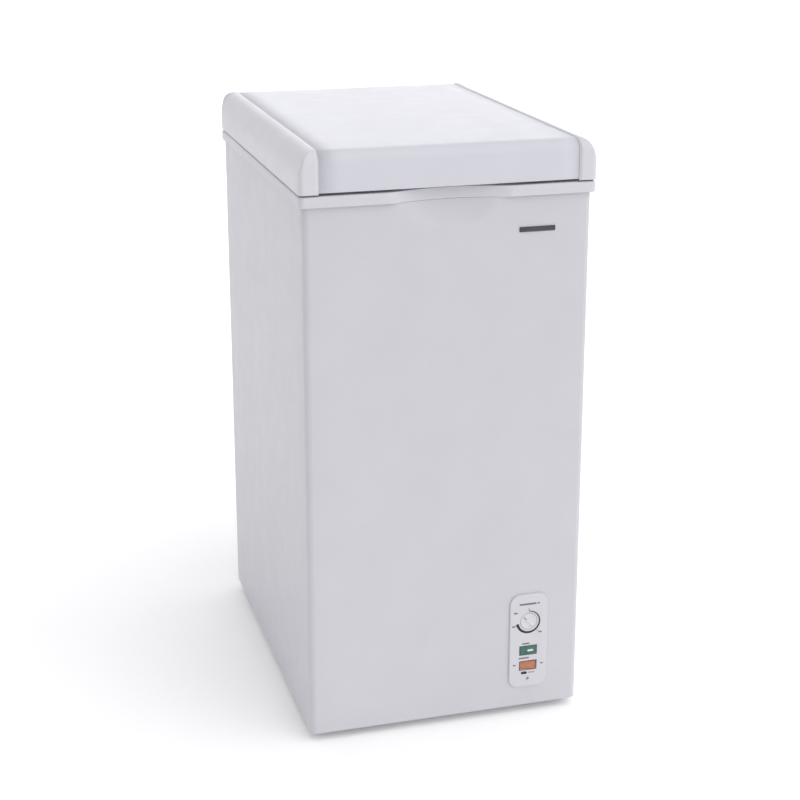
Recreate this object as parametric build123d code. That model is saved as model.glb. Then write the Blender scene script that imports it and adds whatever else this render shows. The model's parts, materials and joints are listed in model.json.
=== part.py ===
"""Top-opening chest freezer of about 60 litres, in millimetres.

+Z is up, -Y is the front where the controls are, and the origin is on the floor under the middle of the
outline box. The tub takes the upper part, and a machine room as wide and deep as the cabinet lies under it.
"""

from build123d import *

import os

# ---- driving dimensions -------------------------------------------------------------------------
WIDTH = 410.0                # across the lid and the rim
LID_DEPTH = 555.0            # front to back of the lid and the rim
HINGE_STANDOFF = 15.0        # how far the hinge knuckles stand out behind the lid
HEIGHT = 845.0
OVERHANG = 5.0               # the rim and the lid stand out past the cabinet by this much

FOOT_HEIGHT = 12.0           # floor to the cabinet's lower edge
SHEET = 1.0                  # painted steel sheet
WALL = 52.0                  # cabinet wall, from the outside of the shell to the inside of the tub
FLOOR_WALL = 50.0            # machine-room roof to the inside of the tub's floor
MACHINE_ROOM_TOP = 262.0
RIM_BOTTOM = 771.0
RIM_TOP = 786.0
LEDGE_Z = 760.0              # ledge inside the rim that the basket hangs on
MOULDING = 2.5               # wall of the plastic mouldings

CAP_BOTTOM = 788.0           # lower edge of the lid's plastic end caps
PANEL_SKIRT_BOTTOM = 789.5   # lower edge of the lid's sheet between them
CAP_WIDTH = 25.0
CAP_SHOULDER = 808.0         # above this the caps' sides curve in
LID_SKIN = 2.2               # wall of the end caps
PANEL_SINK = 1.2             # the sheet lies this far inside the end caps
PLUG = (150.0, -220.0, 205.0, 768.0)             # the lid's inner tray: half width, front, rear, bottom

# ---- places worked out from them ----------------------------------------------------------------
FRONT = -(LID_DEPTH + HINGE_STANDOFF) / 2        # front face of the lid and the rim
REAR = FRONT + LID_DEPTH                         # rear face of the lid and the rim
HALF = WIDTH / 2
SHELL_FRONT = FRONT + OVERHANG
SHELL_REAR = REAR - OVERHANG
SHELL_HALF = HALF - OVERHANG
SHELL_TOP = RIM_TOP - 4.0
SHELL_CORNER = 10.0

TUB_HALF = SHELL_HALF - WALL
TUB_FRONT = SHELL_FRONT + WALL
TUB_REAR = SHELL_REAR - WALL
TUB_FLOOR = MACHINE_ROOM_TOP + FLOOR_WALL
TUB_CORNER = 22.0
LINER_TOP = LEDGE_Z - MOULDING

BASE_Z = FOOT_HEIGHT + SHEET                     # underside of the base pan
BASE_TOP = BASE_Z + 1.2

HINGE_Y = REAR + HINGE_STANDOFF / 2
HINGE_Z = RIM_TOP - 2.0
HINGE_X = 120.0                                  # each hinge's distance from the middle
PIN_RADIUS = 3.0
RUNNING_GAP = 0.05
SEAT_GAP = 0.1               # between round parts that sit in one another and don't turn

# control panel, low on the right of the front
PANEL_X = 122.7
PANEL_BOTTOM = 43.0
PANEL_TOP = 189.0
PANEL_WIDTH = 57.0
FASCIA = 3.0
FASCIA_FRONT = SHELL_FRONT - FASCIA
KNOB_Z = 146.6
KNOB_RADIUS = 12.5
LAMP_Z = 101.0
SWITCH_Z = 77.0
WINDOW = (25.0, 13.0)                            # lamp and switch windows, width and height
ROCKER_TILT = 7.0                                # degrees each side of level
ROCKER_PIVOT_Y = SHELL_FRONT + 5.0

DRAIN_X, DRAIN_Y = -110.0, -150.0
DRAIN_BORE = 6.0
DRAIN_PIPE = 8.0
DRAIN_OUT_Z = 232.0
GLAND_X, GLAND_Z = 150.0, 60.0
GLAND_BORE = 4.2
GLAND = 7.0
STUD = 4.0

COMPRESSOR_X, COMPRESSOR_Y = 40.0, 150.0
PLATE_Z = 30.0                                   # underside of the compressor's mounting plate
POT_Z = PLATE_Z + 3.0
POT_TOP = POT_Z + 158.0
POT_SLOT = (190.0, 150.0)                        # the pot's outline, length and width

BASKET_HALF = 138.0                              # wire centre lines
BASKET_FRONT, BASKET_REAR = 8.0, 200.0
BASKET_TOP, BASKET_BOTTOM = 756.0, 580.0
BASKET_CORNER = 22.0
FRAME_WIRE = 2.5                                 # wire radii
MESH_WIRE = 1.5
WELD_GAP = 0.05

PIPE = 4.0                                       # refrigerant tube radius
LINER_GAP = PIPE + 0.4                           # tube centre line to the liner's outside
SHELL_GAP = PIPE + 2.0                           # tube centre line to the shell's inside
PIPE_END = MACHINE_ROOM_TOP - 22.0               # the tubes from the foam end here, in the machine room
EVAPORATOR_IN = (-40.0, TUB_REAR + SHEET + LINER_GAP)
EVAPORATOR_OUT = (70.0, SHELL_REAR - 18)
CONDENSER_SIDE = SHELL_HALF - SHEET - SHELL_GAP
CONDENSER_FAR = 200.0

FOOT_SPOTS = {"front_left": (-158, -235), "front_right": (158, -235), "rear_left": (-158, 218),
              "rear_right": (158, 218)}
GROMMET_SPOTS = [(COMPRESSOR_X + dx, COMPRESSOR_Y + dy) for dx in (-90, 90) for dy in (-62, 62)]
BRACKET_SCREWS = [(side * HINGE_X + dx, z) for side in (-1, 1) for dx in (-14, 14) for z in (712, 736)]
LEAF_SCREWS = [(side * HINGE_X + dx, 816) for side in (-1, 1) for dx in (-14, 14)]
COVER_SCREWS = [(x, z) for x in (-177.5, 177.5) for z in (44, 141, 240)]


# ---- helpers ------------------------------------------------------------------------------------
def block(x0, x1, y0, y1, z0, z1):
    """A box between two corners."""
    return Pos((x0 + x1) / 2, (y0 + y1) / 2, (z0 + z1) / 2) * Box(x1 - x0, y1 - y0, z1 - z0)


def rounded(half, y0, y1, z0, z1, radius):
    """An upright block with rounded vertical corners, centred on X."""
    outline = RectangleRounded(2 * half, y1 - y0, radius)
    return Pos(0, (y0 + y1) / 2, z0) * extrude(outline, z1 - z0)


def ring(outer, outer_radius, inner, inner_radius, z0, z1):
    """An upright frame: outer and inner are (half width, front y, rear y)."""
    return rounded(*outer, z0, z1, outer_radius) - rounded(*inner, z0 - 1, z1 + 1, inner_radius)


def peg(radius, start, length, axis=(0, 0, 1)):
    """A cylinder from a start point along an axis."""
    return Solid.make_cylinder(radius, length, Plane(origin=start, z_dir=axis))


def tube(points, radius, bend, bore=0.0):
    """A round bar or pipe along a route whose corners are arcs."""
    path = FilletPolyline(*points, radius=bend)
    plane = Plane(origin=path @ 0, z_dir=path % 0)
    bar = sweep(plane * Circle(radius), path=path)
    return bar - sweep(plane * Circle(bore), path=path) if bore else bar


def screw(place, axis, length, head=4.0, shank=1.8):
    """A pan-head screw whose head sits on the place and points along the axis, with a cross recess."""
    spot = Plane(origin=place, z_dir=axis)
    body = Pos(0, 0, 1.2) * Cylinder(head, 2.4)
    body = fillet(body.edges().group_by(Axis.Z)[-1], 1.2)
    body += Pos(0, 0, -length / 2) * Cylinder(shank, length)
    body -= Pos(0, 0, 2.1) * (Box(head, 1.0, 1.6) + Box(1.0, head, 1.6))
    return spot.location * body


def group(items):
    """Several separate solids in one node."""
    return Compound(children=[s for item in items for s in item.solids()])


def scoop(extra=0.0):
    """The shallow finger dish at the top of the front, as a tool grown by extra.

    Part of a disc, upright and gently curved, is turned about an upright axis in front of the freezer.
    """
    side_radius, down_radius, depth, reach = 229.0, 128.0, 16.0, 30.0
    disc = Pos(side_radius - down_radius, RIM_TOP) * Circle(down_radius + extra)
    keep = Pos(side_radius - depth + 23, RIM_TOP) * Rectangle(50, 2 * (down_radius + extra))
    lens = Plane.XZ * (disc & keep)
    turned = revolve(Rot(0, 0, 90 - reach) * lens, Axis.Z, 2 * reach)
    return Pos(0, FRONT + depth - side_radius, 0) * turned


# ---- cabinet ------------------------------------------------------------------------------------
def outer_shell():
    """Front and sides from one wrapped sheet, hemmed inward at the foot and at the rear edges."""
    open_rear = SHELL_REAR + 40
    body = rounded(SHELL_HALF, SHELL_FRONT, open_rear, FOOT_HEIGHT, SHELL_TOP, SHELL_CORNER)
    body -= rounded(SHELL_HALF - SHEET, SHELL_FRONT + SHEET, open_rear + 1, FOOT_HEIGHT - 1, SHELL_TOP + 1,
                    SHELL_CORNER - SHEET)
    hem = rounded(SHELL_HALF, SHELL_FRONT, open_rear, FOOT_HEIGHT, FOOT_HEIGHT + SHEET, SHELL_CORNER)
    hem -= block(-SHELL_HALF + 16, SHELL_HALF - 16, SHELL_FRONT + 16, open_rear + 1, 0, 20)
    body += hem
    body &= block(-HALF, HALF, FRONT, SHELL_REAR, 0, HEIGHT)
    for x0, x1 in ((-SHELL_HALF + SHEET, -SHELL_HALF + 14), (SHELL_HALF - 14, SHELL_HALF - SHEET)):
        body += block(x0, x1, SHELL_REAR - 2 * SHEET, SHELL_REAR - SHEET, BASE_TOP + 24, SHELL_TOP)
    # the dish, and room for the rim's own dish above it
    body -= scoop()
    body -= block(-79, 79, FRONT, SHELL_FRONT + 20, RIM_BOTTOM - 0.2, HEIGHT)
    body += (scoop(SHEET) - scoop()) & block(-110, 110, SHELL_FRONT, -240, 600, RIM_BOTTOM - 0.2)
    # the opening behind the control panel
    return body - block(PANEL_X - 23, PANEL_X + 23, FRONT, SHELL_FRONT + 5, PANEL_BOTTOM + 8, PANEL_TOP - 8)


def back_panel():
    """Sheet across the rear, open behind the machine room, with the hinges' screw holes."""
    half = SHELL_HALF - SHEET
    plate = block(-half, half, SHELL_REAR - SHEET, SHELL_REAR, BASE_TOP, SHELL_TOP)
    plate -= block(-170, 170, SHELL_REAR - 5, SHELL_REAR + 5, 34, 248)
    for x, z in BRACKET_SCREWS + COVER_SCREWS:
        plate -= peg(1.8, (x, SHELL_REAR - 5, z), 10, (0, 1, 0))
    return plate


def tub_block(grow, floor_z, top_z):
    """The tub's space, grown outward, with rounded lower edges."""
    body = rounded(TUB_HALF + grow, TUB_FRONT - grow, TUB_REAR + grow, floor_z, top_z, TUB_CORNER + grow)
    return fillet(body.edges().group_by(Axis.Z)[0], 14 + grow)


def inner_liner():
    body = tub_block(SHEET, TUB_FLOOR - SHEET, LINER_TOP) - tub_block(0, TUB_FLOOR, LINER_TOP + 1)
    return body - peg(DRAIN_PIPE, (DRAIN_X, DRAIN_Y, TUB_FLOOR - 20), 40)


def throat(grow):
    """Outline of the rim's opening, grown outward."""
    return (TUB_HALF + 8 + grow, TUB_FRONT - 8 - grow, TUB_REAR + 8 + grow)


def rim_collar():
    """The moulded rim: outer skirt, top, throat, ledge for the basket, and a lip inside the liner's edge."""
    outside = rounded(HALF, FRONT, REAR, RIM_BOTTOM, RIM_TOP, 8)
    outside = fillet(outside.edges().group_by(Axis.Z)[-1], 3.5)
    inside = (HALF - MOULDING, FRONT + MOULDING, REAR - MOULDING)
    body = outside - rounded(*inside, RIM_BOTTOM - 1, RIM_TOP - MOULDING, 8 - MOULDING)
    body -= rounded(*throat(0), RIM_BOTTOM, RIM_TOP + 1, TUB_CORNER + 8)
    neck, neck_corner = throat(MOULDING), TUB_CORNER + 8 + MOULDING
    body += ring(neck, neck_corner, throat(0), TUB_CORNER + 8, LEDGE_Z - MOULDING, RIM_TOP - 1)
    lip = (TUB_HALF - 2, TUB_FRONT + 2, TUB_REAR - 2)
    lip_outer = (TUB_HALF - 0.1, TUB_FRONT + 0.1, TUB_REAR - 0.1)
    body += ring(neck, neck_corner, lip, TUB_CORNER - 2, LEDGE_Z - MOULDING, LEDGE_Z)
    body += ring(lip_outer, TUB_CORNER - 0.1, lip, TUB_CORNER - 2, LEDGE_Z - 12, LEDGE_Z - 1)
    dish = (scoop(MOULDING) - scoop()) & outside
    return body - scoop() + (dish & block(-110, 110, FRONT, -240, RIM_BOTTOM, RIM_TOP))


def evaporator_tube():
    """Tube led to and fro round the tub, row above row, starting and ending in the machine room."""
    side = TUB_HALF + SHEET + LINER_GAP
    front, rear = TUB_FRONT - SHEET - LINER_GAP, EVAPORATOR_IN[1]
    loop = [(-side, rear), (-side, front), (side, front), (side, rear)]
    left, right = EVAPORATOR_IN[0], -EVAPORATOR_IN[0]
    rows, first_z, pitch = 4, 350.0, 95.0
    points = [(left, rear, PIPE_END)]
    for row in range(rows):
        z = first_z + row * pitch
        corners, ends = (loop, (left, right)) if row % 2 == 0 else (loop[::-1], (right, left))
        points += [(ends[0], rear, z), *[(x, y, z) for x, y in corners], (ends[1], rear, z)]
    top = first_z + rows * pitch - pitch / 2
    out_x, out_y = EVAPORATOR_OUT
    points += [(left, rear, top), (left, out_y, top), (out_x, out_y, top), (out_x, out_y, PIPE_END)]
    return tube(points, PIPE, 12)


def condenser_tube():
    """Tube behind both side sheets, joined across the front, that gives off the heat."""
    side, near, far = CONDENSER_SIDE, SHELL_FRONT + 42, CONDENSER_FAR
    across_y = SHELL_FRONT + SHEET + SHELL_GAP
    rows, first_z, pitch = 4, 340.0, 105.0
    low, high = first_z - pitch / 2, first_z + rows * pitch - pitch / 2
    climb = []
    for row in range(rows):
        ends = (far, near) if row % 2 == 0 else (near, far)
        climb += [(ends[0], first_z + row * pitch), (ends[1], first_z + row * pitch)]
    points = [(-side, far, PIPE_END), *[(-side, y, z) for y, z in climb], (-side, far, high)]
    points += [(-side, across_y, high), (-side, across_y, low)]
    points += [(side, across_y, low), (side, across_y, high)]
    points += [(side, far, high), *[(side, y, z) for y, z in reversed(climb)], (side, far, PIPE_END)]
    return tube(points, PIPE, 12)


def insulation_foam(tubes):
    """Foam between the shell and the liner, moulded round the refrigerant tubes."""
    body = rounded(SHELL_HALF - SHEET, SHELL_FRONT + SHEET, SHELL_REAR + 40, MACHINE_ROOM_TOP + SHEET,
                   RIM_TOP - MOULDING, SHELL_CORNER - SHEET)
    body &= block(-HALF, HALF, FRONT, SHELL_REAR - 2 * SHEET, 0, HEIGHT)
    body -= tub_block(SHEET, TUB_FLOOR - SHEET, LINER_TOP)
    body -= rounded(*throat(MOULDING), LINER_TOP, HEIGHT, TUB_CORNER + 8 + MOULDING)
    body -= scoop(MOULDING)
    body -= peg(DRAIN_PIPE, (DRAIN_X, DRAIN_Y, MACHINE_ROOM_TOP - 10), 100)
    for x, z in BRACKET_SCREWS:
        body -= peg(1.8, (x, SHELL_REAR - 12, z), 20, (0, 1, 0))
    for item in tubes:
        body -= item
    return body


def deck_plate():
    """Roof of the machine room, pierced for the tubes and the drain."""
    half = SHELL_HALF - SHEET
    plate = block(-half, half, SHELL_FRONT + SHELL_CORNER, SHELL_REAR - 2 * SHEET, MACHINE_ROOM_TOP,
                  MACHINE_ROOM_TOP + SHEET)
    condenser_ends = [(side * CONDENSER_SIDE, CONDENSER_FAR) for side in (-1, 1)]
    for x, y in [EVAPORATOR_IN, EVAPORATOR_OUT] + condenser_ends:
        plate -= peg(PIPE + 0.5, (x, y, MACHINE_ROOM_TOP - 5), 10)
    return plate - peg(DRAIN_PIPE, (DRAIN_X, DRAIN_Y, MACHINE_ROOM_TOP - 5), 10)


def base_pan():
    """A shallow steel pan that closes the foot of the cabinet and carries the feet and the compressor."""
    outer = (SHELL_HALF - SHEET, SHELL_FRONT + SHEET, SHELL_REAR - 2 * SHEET)
    inner = (outer[0] - 1.2, outer[1] + 1.2, outer[2] - 1.2)
    body = rounded(*outer, BASE_Z, BASE_TOP + 22, SHELL_CORNER - SHEET)
    body -= rounded(*inner, BASE_TOP, BASE_TOP + 30, SHELL_CORNER - SHEET - 1.2)
    for x, y in list(FOOT_SPOTS.values()) + GROMMET_SPOTS:
        body -= peg(STUD + SEAT_GAP, (x, y, 0), 40)
    return body


def foot(x, y):
    """A levelling foot: a wide pad, a cone above it and a threaded socket."""
    up = (Align.CENTER, Align.CENTER, Align.MIN)
    pad = fillet(Cylinder(18, 7, align=up).edges().group_by(Axis.Z)[-1], 2)
    pad += Pos(0, 0, 7) * Cone(14, 10, BASE_Z - 7, align=up)
    return Pos(x, y, 0) * (pad - peg(STUD + SEAT_GAP, (0, 0, 3), 20))


def stud(x, y, z0, z1, nut_z):
    """A threaded stud with its nut, as one solid."""
    return peg(STUD, (x, y, z0), z1 - z0) + Pos(x, y, nut_z) * extrude(RegularPolygon(7.2, 6), 6)


# ---- refrigeration ------------------------------------------------------------------------------
def pot_outline(grow):
    return Pos(COMPRESSOR_X, COMPRESSOR_Y) * SlotOverall(POT_SLOT[0] + 2 * grow, POT_SLOT[1] + 2 * grow)


def compressor_pot():
    """Welded steel pot of the compressor, with its seam bead and the sealed filling stub."""
    body = Pos(0, 0, POT_Z) * extrude(pot_outline(0), POT_TOP - POT_Z)
    body = fillet(body.edges().group_by(Axis.Z)[-1], 38)
    body = fillet(body.edges().group_by(Axis.Z)[0], 22)
    bead = Pos(0, 0, POT_Z + 78) * extrude(pot_outline(3), 5)
    stub = peg(3.0, (COMPRESSOR_X + 46, COMPRESSOR_Y - 10, POT_TOP - 5), 34)
    return body + fillet(bead.edges().filter_by(Plane.XY), 2) + stub


def compressor_mount_plate():
    outline = RectangleRounded(214, 158, 16)
    plate = Pos(COMPRESSOR_X, COMPRESSOR_Y, PLATE_Z) * extrude(outline, POT_Z - PLATE_Z)
    for x, y in GROMMET_SPOTS:
        plate -= peg(9.0, (x, y, 0), 60)
    return plate


def grommet(x, y):
    """Rubber bush that carries a corner of the mounting plate."""
    low = peg(14, (x, y, BASE_TOP), PLATE_Z - BASE_TOP)
    waist = peg(9.0 - SEAT_GAP, (x, y, BASE_TOP), POT_Z - BASE_TOP)
    return low + waist + peg(13, (x, y, POT_Z), 5) - peg(STUD + SEAT_GAP, (x, y, 0), 80)


def terminal_cover():
    """Hollow cover over the start relay on the left end of the pot."""
    x1 = COMPRESSOR_X - 60
    body = block(x1 - 62, x1, COMPRESSOR_Y - 30, COMPRESSOR_Y + 30, 78, 140)
    body = fillet(body.edges().filter_by(Axis.Z), 6)
    body -= block(x1 - 59, x1 + 1, COMPRESSOR_Y - 27, COMPRESSOR_Y + 27, 81, 137)
    body -= Pos(0, 0, 20) * extrude(pot_outline(0.1), 200)
    return body - Pos(0, 0, POT_Z + 74) * extrude(pot_outline(3.5), 13)


def start_relay():
    """Relay block and the round overload switch beside it, on one base."""
    x0 = COMPRESSOR_X - 118
    body = block(x0, x0 + 17, COMPRESSOR_Y - 22, COMPRESSOR_Y + 4, 88, 128)
    body = fillet(body.edges().filter_by(Axis.X), 3)
    base = block(x0, x0 + 3, COMPRESSOR_Y, COMPRESSOR_Y + 12, 96, 120)
    return body + base + peg(9.5, (x0, COMPRESSOR_Y + 15, 108), 14, (1, 0, 0))


def suction_pipe():
    x, y, z = *EVAPORATOR_OUT, 214.0
    to_y = COMPRESSOR_Y + 18
    return tube([(x, y, PIPE_END), (x, y, z), (x, to_y, z), (x, to_y, POT_TOP)], PIPE, 9)


def discharge_pipe():
    x, y, z = -CONDENSER_SIDE, CONDENSER_FAR, 208.0
    to_x, to_y = COMPRESSOR_X - 28, COMPRESSOR_Y - 6
    route = [(x, y, PIPE_END), (x, y, z), (to_x, y, z), (to_x, to_y, z), (to_x, to_y, POT_TOP)]
    return tube(route, PIPE, 12)


DRIER_X, DRIER_TOP, DRIER_BOTTOM = 166.0, 200.0, 110.0
CAPILLARY = 1.2


def filter_drier():
    """Copper can that dries the liquid, with the pipe from the condenser."""
    inlet = tube([(CONDENSER_SIDE, CONDENSER_FAR, PIPE_END), (CONDENSER_SIDE, CONDENSER_FAR, 222),
                  (DRIER_X, CONDENSER_FAR, 222), (DRIER_X, CONDENSER_FAR, DRIER_TOP)], PIPE, 9)
    profile = Polyline((0, DRIER_BOTTOM), (3, DRIER_BOTTOM), (10, DRIER_BOTTOM + 12), (10, DRIER_TOP - 12),
                       (PIPE, DRIER_TOP), (0, DRIER_TOP), close=True)
    can = revolve(Plane.XZ * make_face(profile), Axis.Z)
    return inlet + Pos(DRIER_X, CONDENSER_FAR, 0) * can


def capillary_tube():
    x, y = EVAPORATOR_IN
    back = SHELL_REAR - 9
    return tube([(DRIER_X, CONDENSER_FAR, DRIER_BOTTOM), (DRIER_X, CONDENSER_FAR, 92), (DRIER_X, back, 92),
                 (DRIER_X, back, 218), (x, back, 218), (x, y, 218), (x, y, PIPE_END)], CAPILLARY, 8)


# ---- rear of the machine room -------------------------------------------------------------------
COVER_THICK = 1.5
COVER_FACE = SHELL_REAR + COVER_THICK
NOZZLE_END = COVER_FACE + 12.0


def rear_cover():
    """Louvred sheet over the machine room, with holes for the drain nozzle and the cord gland."""
    plate = block(-186, 186, SHELL_REAR, COVER_FACE, 26, 256)
    for z in range(84, 212, 14):
        for x0, x1 in ((-150, -55), (-40, 55), (70, 150)):
            plate -= block(x0, x1, SHELL_REAR - 1, COVER_FACE + 1, z, z + 6)
    plate -= peg(DRAIN_PIPE + 2, (DRAIN_X, SHELL_REAR - 5, DRAIN_OUT_Z), 10, (0, 1, 0))
    plate -= peg(GLAND + SEAT_GAP, (GLAND_X, SHELL_REAR - 5, GLAND_Z), 10, (0, 1, 0))
    for x, z in COVER_SCREWS:
        plate -= peg(1.8, (x, SHELL_REAR - 5, z), 10, (0, 1, 0))
    return plate


def cord_gland():
    """Round bush for the supply cord, collared on both sides of the rear cover."""
    start = SHELL_REAR - 8
    body = peg(GLAND, (GLAND_X, start, GLAND_Z), 20, (0, 1, 0))
    body += peg(10.0, (GLAND_X, COVER_FACE, GLAND_Z), 3, (0, 1, 0))
    body += peg(10.0, (GLAND_X, SHELL_REAR - 4, GLAND_Z), 4, (0, 1, 0))
    return body - peg(GLAND_BORE, (GLAND_X, start - 1, GLAND_Z), 30, (0, 1, 0))


def drain_pipe():
    """Flanged pipe from the tub's floor down and out through the back, with a grooved nozzle."""
    top, bend = (DRAIN_X, DRAIN_Y, TUB_FLOOR), (DRAIN_X, DRAIN_Y, DRAIN_OUT_Z)
    route = [top, bend, (DRAIN_X, NOZZLE_END, DRAIN_OUT_Z)]
    flange = peg(14, top, 1.5) - peg(DRAIN_BORE, bend, 100)
    return tube(route, DRAIN_PIPE, 25, DRAIN_BORE) + flange


def drain_plug():
    """Stopper pushed into the drain from inside the tub, with a finger knob."""
    top = TUB_FLOOR + 1.5
    shank = peg(DRAIN_BORE - RUNNING_GAP, (DRAIN_X, DRAIN_Y, top - 16), 16)
    head = fillet(peg(11, (DRAIN_X, DRAIN_Y, top + 0.3), 3).edges().group_by(Axis.Z)[-1], 1.2)
    neck = peg(4, (DRAIN_X, DRAIN_Y, top - 1), 12)
    knob = fillet(peg(7, (DRAIN_X, DRAIN_Y, top + 9), 4).edges(), 1.5)
    return shank + neck + head + knob


def drain_cap():
    """Ribbed cap over the drain nozzle."""
    inner, outer, end = DRAIN_PIPE + RUNNING_GAP, DRAIN_PIPE + 3, NOZZLE_END + 4
    start = COVER_FACE + 1.0
    body = peg(outer, (DRAIN_X, start, DRAIN_OUT_Z), end - start, (0, 1, 0))
    body = fillet(body.edges().group_by(Axis.Y)[-1], 1.5)
    body -= peg(inner, (DRAIN_X, start - 1, DRAIN_OUT_Z), NOZZLE_END + 1.3 - start, (0, 1, 0))
    for angle in range(0, 360, 30):
        rib = Pos(outer, 0, 0) * Cylinder(0.8, end - start - 3)
        body += Pos(DRAIN_X, (start + end) / 2 - 1, DRAIN_OUT_Z) * (Rot(90, 0, 0) * (Rot(0, 0, angle) * rib))
    return body


# ---- controls -----------------------------------------------------------------------------------
def fascia_window(z, size=WINDOW):
    return block(PANEL_X - size[0] / 2, PANEL_X + size[0] / 2, FRONT, SHELL_FRONT + 1, z - size[1] / 2,
                 z + size[1] / 2)


def control_panel():
    """Rounded fascia with a round hole for the knob and windows for the lamp and the switch."""
    height = PANEL_TOP - PANEL_BOTTOM
    spot = Plane(origin=(PANEL_X, SHELL_FRONT, PANEL_BOTTOM + height / 2), x_dir=(1, 0, 0), z_dir=(0, -1, 0))
    plate = spot.location * extrude(RectangleRounded(PANEL_WIDTH, height, 15), FASCIA)
    plate = fillet(plate.edges().group_by(Axis.Y)[0], 1.2)
    plate -= peg(KNOB_RADIUS + 0.4, (PANEL_X, FRONT, KNOB_Z), 10, (0, 1, 0))
    return plate - fascia_window(LAMP_Z) - fascia_window(SWITCH_Z)


def control_box():
    """Open-fronted box behind the fascia that holds the thermostat, the lamp and the switch."""
    x0, x1, z0, z1 = PANEL_X - 22.5, PANEL_X + 22.5, PANEL_BOTTOM + 8.5, PANEL_TOP - 8.5
    body = block(x0, x1, SHELL_FRONT, SHELL_FRONT + 48, z0, z1)
    body -= block(x0 + 2, x1 - 2, SHELL_FRONT - 1, SHELL_FRONT + 46, z0 + 2, z1 - 2)
    return body - block(PANEL_X - 8, PANEL_X + 8, SHELL_FRONT + 40, SHELL_FRONT + 50, z0 + 20, z0 + 30)


def thermostat():
    """Thermostat case on the back of the box, with a bush for its shaft."""
    back = SHELL_FRONT + 46
    body = block(PANEL_X - 18, PANEL_X + 18, back - 22, back, KNOB_Z - 20, KNOB_Z + 20)
    body = fillet(body.edges().filter_by(Axis.Y), 3)
    body += peg(6, (PANEL_X, back - 28, KNOB_Z), 8, (0, 1, 0))
    return body - peg(PIN_RADIUS + RUNNING_GAP, (PANEL_X, back - 30, KNOB_Z), 16, (0, 1, 0))


def thermostat_shaft():
    return peg(PIN_RADIUS, (PANEL_X, SHELL_FRONT + 4, KNOB_Z), 24, (0, 1, 0))


def temperature_knob():
    """Round dial with a raised finger bar across its face."""
    face, back = FASCIA_FRONT + 0.2, SHELL_FRONT + 4
    body = peg(KNOB_RADIUS, (PANEL_X, face, KNOB_Z), back - face, (0, 1, 0))
    body = fillet(body.edges().group_by(Axis.Y)[0], 0.8)
    bar = block(-KNOB_RADIUS + 1.5, KNOB_RADIUS - 1.5, face - 1.6, face + 0.5, -2.2, 2.2)
    bar = fillet(bar.edges().group_by(Axis.Y)[0], 0.7)
    return body + Pos(PANEL_X, 0, KNOB_Z) * (Rot(0, 45, 0) * bar)


def power_lamp():
    """Tinted lens with a rounded face, standing a little out of its window."""
    half_x, half_z = WINDOW[0] / 2 - 0.1, WINDOW[1] / 2 - 0.1
    lens = block(PANEL_X - half_x, PANEL_X + half_x, FASCIA_FRONT - 1, SHELL_FRONT + 4, LAMP_Z - half_z,
                 LAMP_Z + half_z)
    return fillet(lens.edges().group_by(Axis.Y)[0], 0.9)


def lamp_holder():
    return block(PANEL_X - 14, PANEL_X + 14, SHELL_FRONT + 4, SHELL_FRONT + 24, LAMP_Z - 7, LAMP_Z + 7)


def switch_housing():
    """Open-fronted case with the rocker's pivot holes."""
    front, back = SHELL_FRONT, SHELL_FRONT + 24
    body = block(PANEL_X - 15, PANEL_X + 15, front, back, SWITCH_Z - 9.5, SWITCH_Z + 9.5)
    body -= block(PANEL_X - 13, PANEL_X + 13, front - 1, front + 16, SWITCH_Z - 6.6, SWITCH_Z + 6.6)
    return body - peg(1.5 + RUNNING_GAP, (PANEL_X, ROCKER_PIVOT_Y, SWITCH_Z - 9), 18)


def quick_freeze_rocker():
    """Rocker with a dished face on an upright pivot, built level and then tilted to its off position."""
    half, out, half_z = 11.2, 8.0, 6.1
    outline = Polyline((-half, -out), (0, -out + 1.4), (half, -out), (half, -2), (4, 3), (-4, 3),
                       (-half, -2), close=True)
    body = Pos(0, 0, -half_z) * extrude(make_face(outline), 2 * half_z)
    body += peg(1.5, (0, 0, -8.8), 17.6)
    return Pos(PANEL_X, ROCKER_PIVOT_Y, SWITCH_Z) * (Rot(0, 0, -ROCKER_TILT) * body)


def wiring_harness():
    """Sleeved cable from the back of the control box to the relay cover."""
    x, y, z = PANEL_X, SHELL_FRONT + 48, PANEL_BOTTOM + 8.5 + 25
    to_x = COMPRESSOR_X - 122
    return tube([(x, y, z), (x, y + 60, z), (to_x - 40, y + 60, z), (to_x - 40, COMPRESSOR_Y, z + 20),
                 (to_x, COMPRESSOR_Y, z + 20)], 3.0, 25)


def badge():
    """Plain bar on the front."""
    return fillet(block(97, 148, SHELL_FRONT - 1.2, SHELL_FRONT, 721, 728).edges().filter_by(Axis.Y), 1)


# ---- hinges -------------------------------------------------------------------------------------
EAR = 3.0
BARREL = 30.0


def hinge_bracket(x):
    """Cabinet half: a plate on the back with two ears that carry the pin behind the rim."""
    body = block(x - 24, x + 24, SHELL_REAR, SHELL_REAR + 2.5, 700, 768)
    for x0 in (x - BARREL / 2 - 0.2 - EAR, x + BARREL / 2 + 0.2):
        ear = block(x0, x0 + EAR, SHELL_REAR, HINGE_Y + 7.5, 745, RIM_BOTTOM - 0.2)
        ear += block(x0, x0 + EAR, REAR, HINGE_Y + 7.5, RIM_BOTTOM - 1, HINGE_Z)
        body += ear + peg(7.5, (x0, HINGE_Y, HINGE_Z), EAR, (1, 0, 0))
    body -= peg(PIN_RADIUS + RUNNING_GAP / 2, (x - 30, HINGE_Y, HINGE_Z), 60, (1, 0, 0))
    for screw_x, z in BRACKET_SCREWS:
        body -= peg(1.8, (screw_x, SHELL_REAR - 5, z), 10, (0, 1, 0))
    return body


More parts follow.
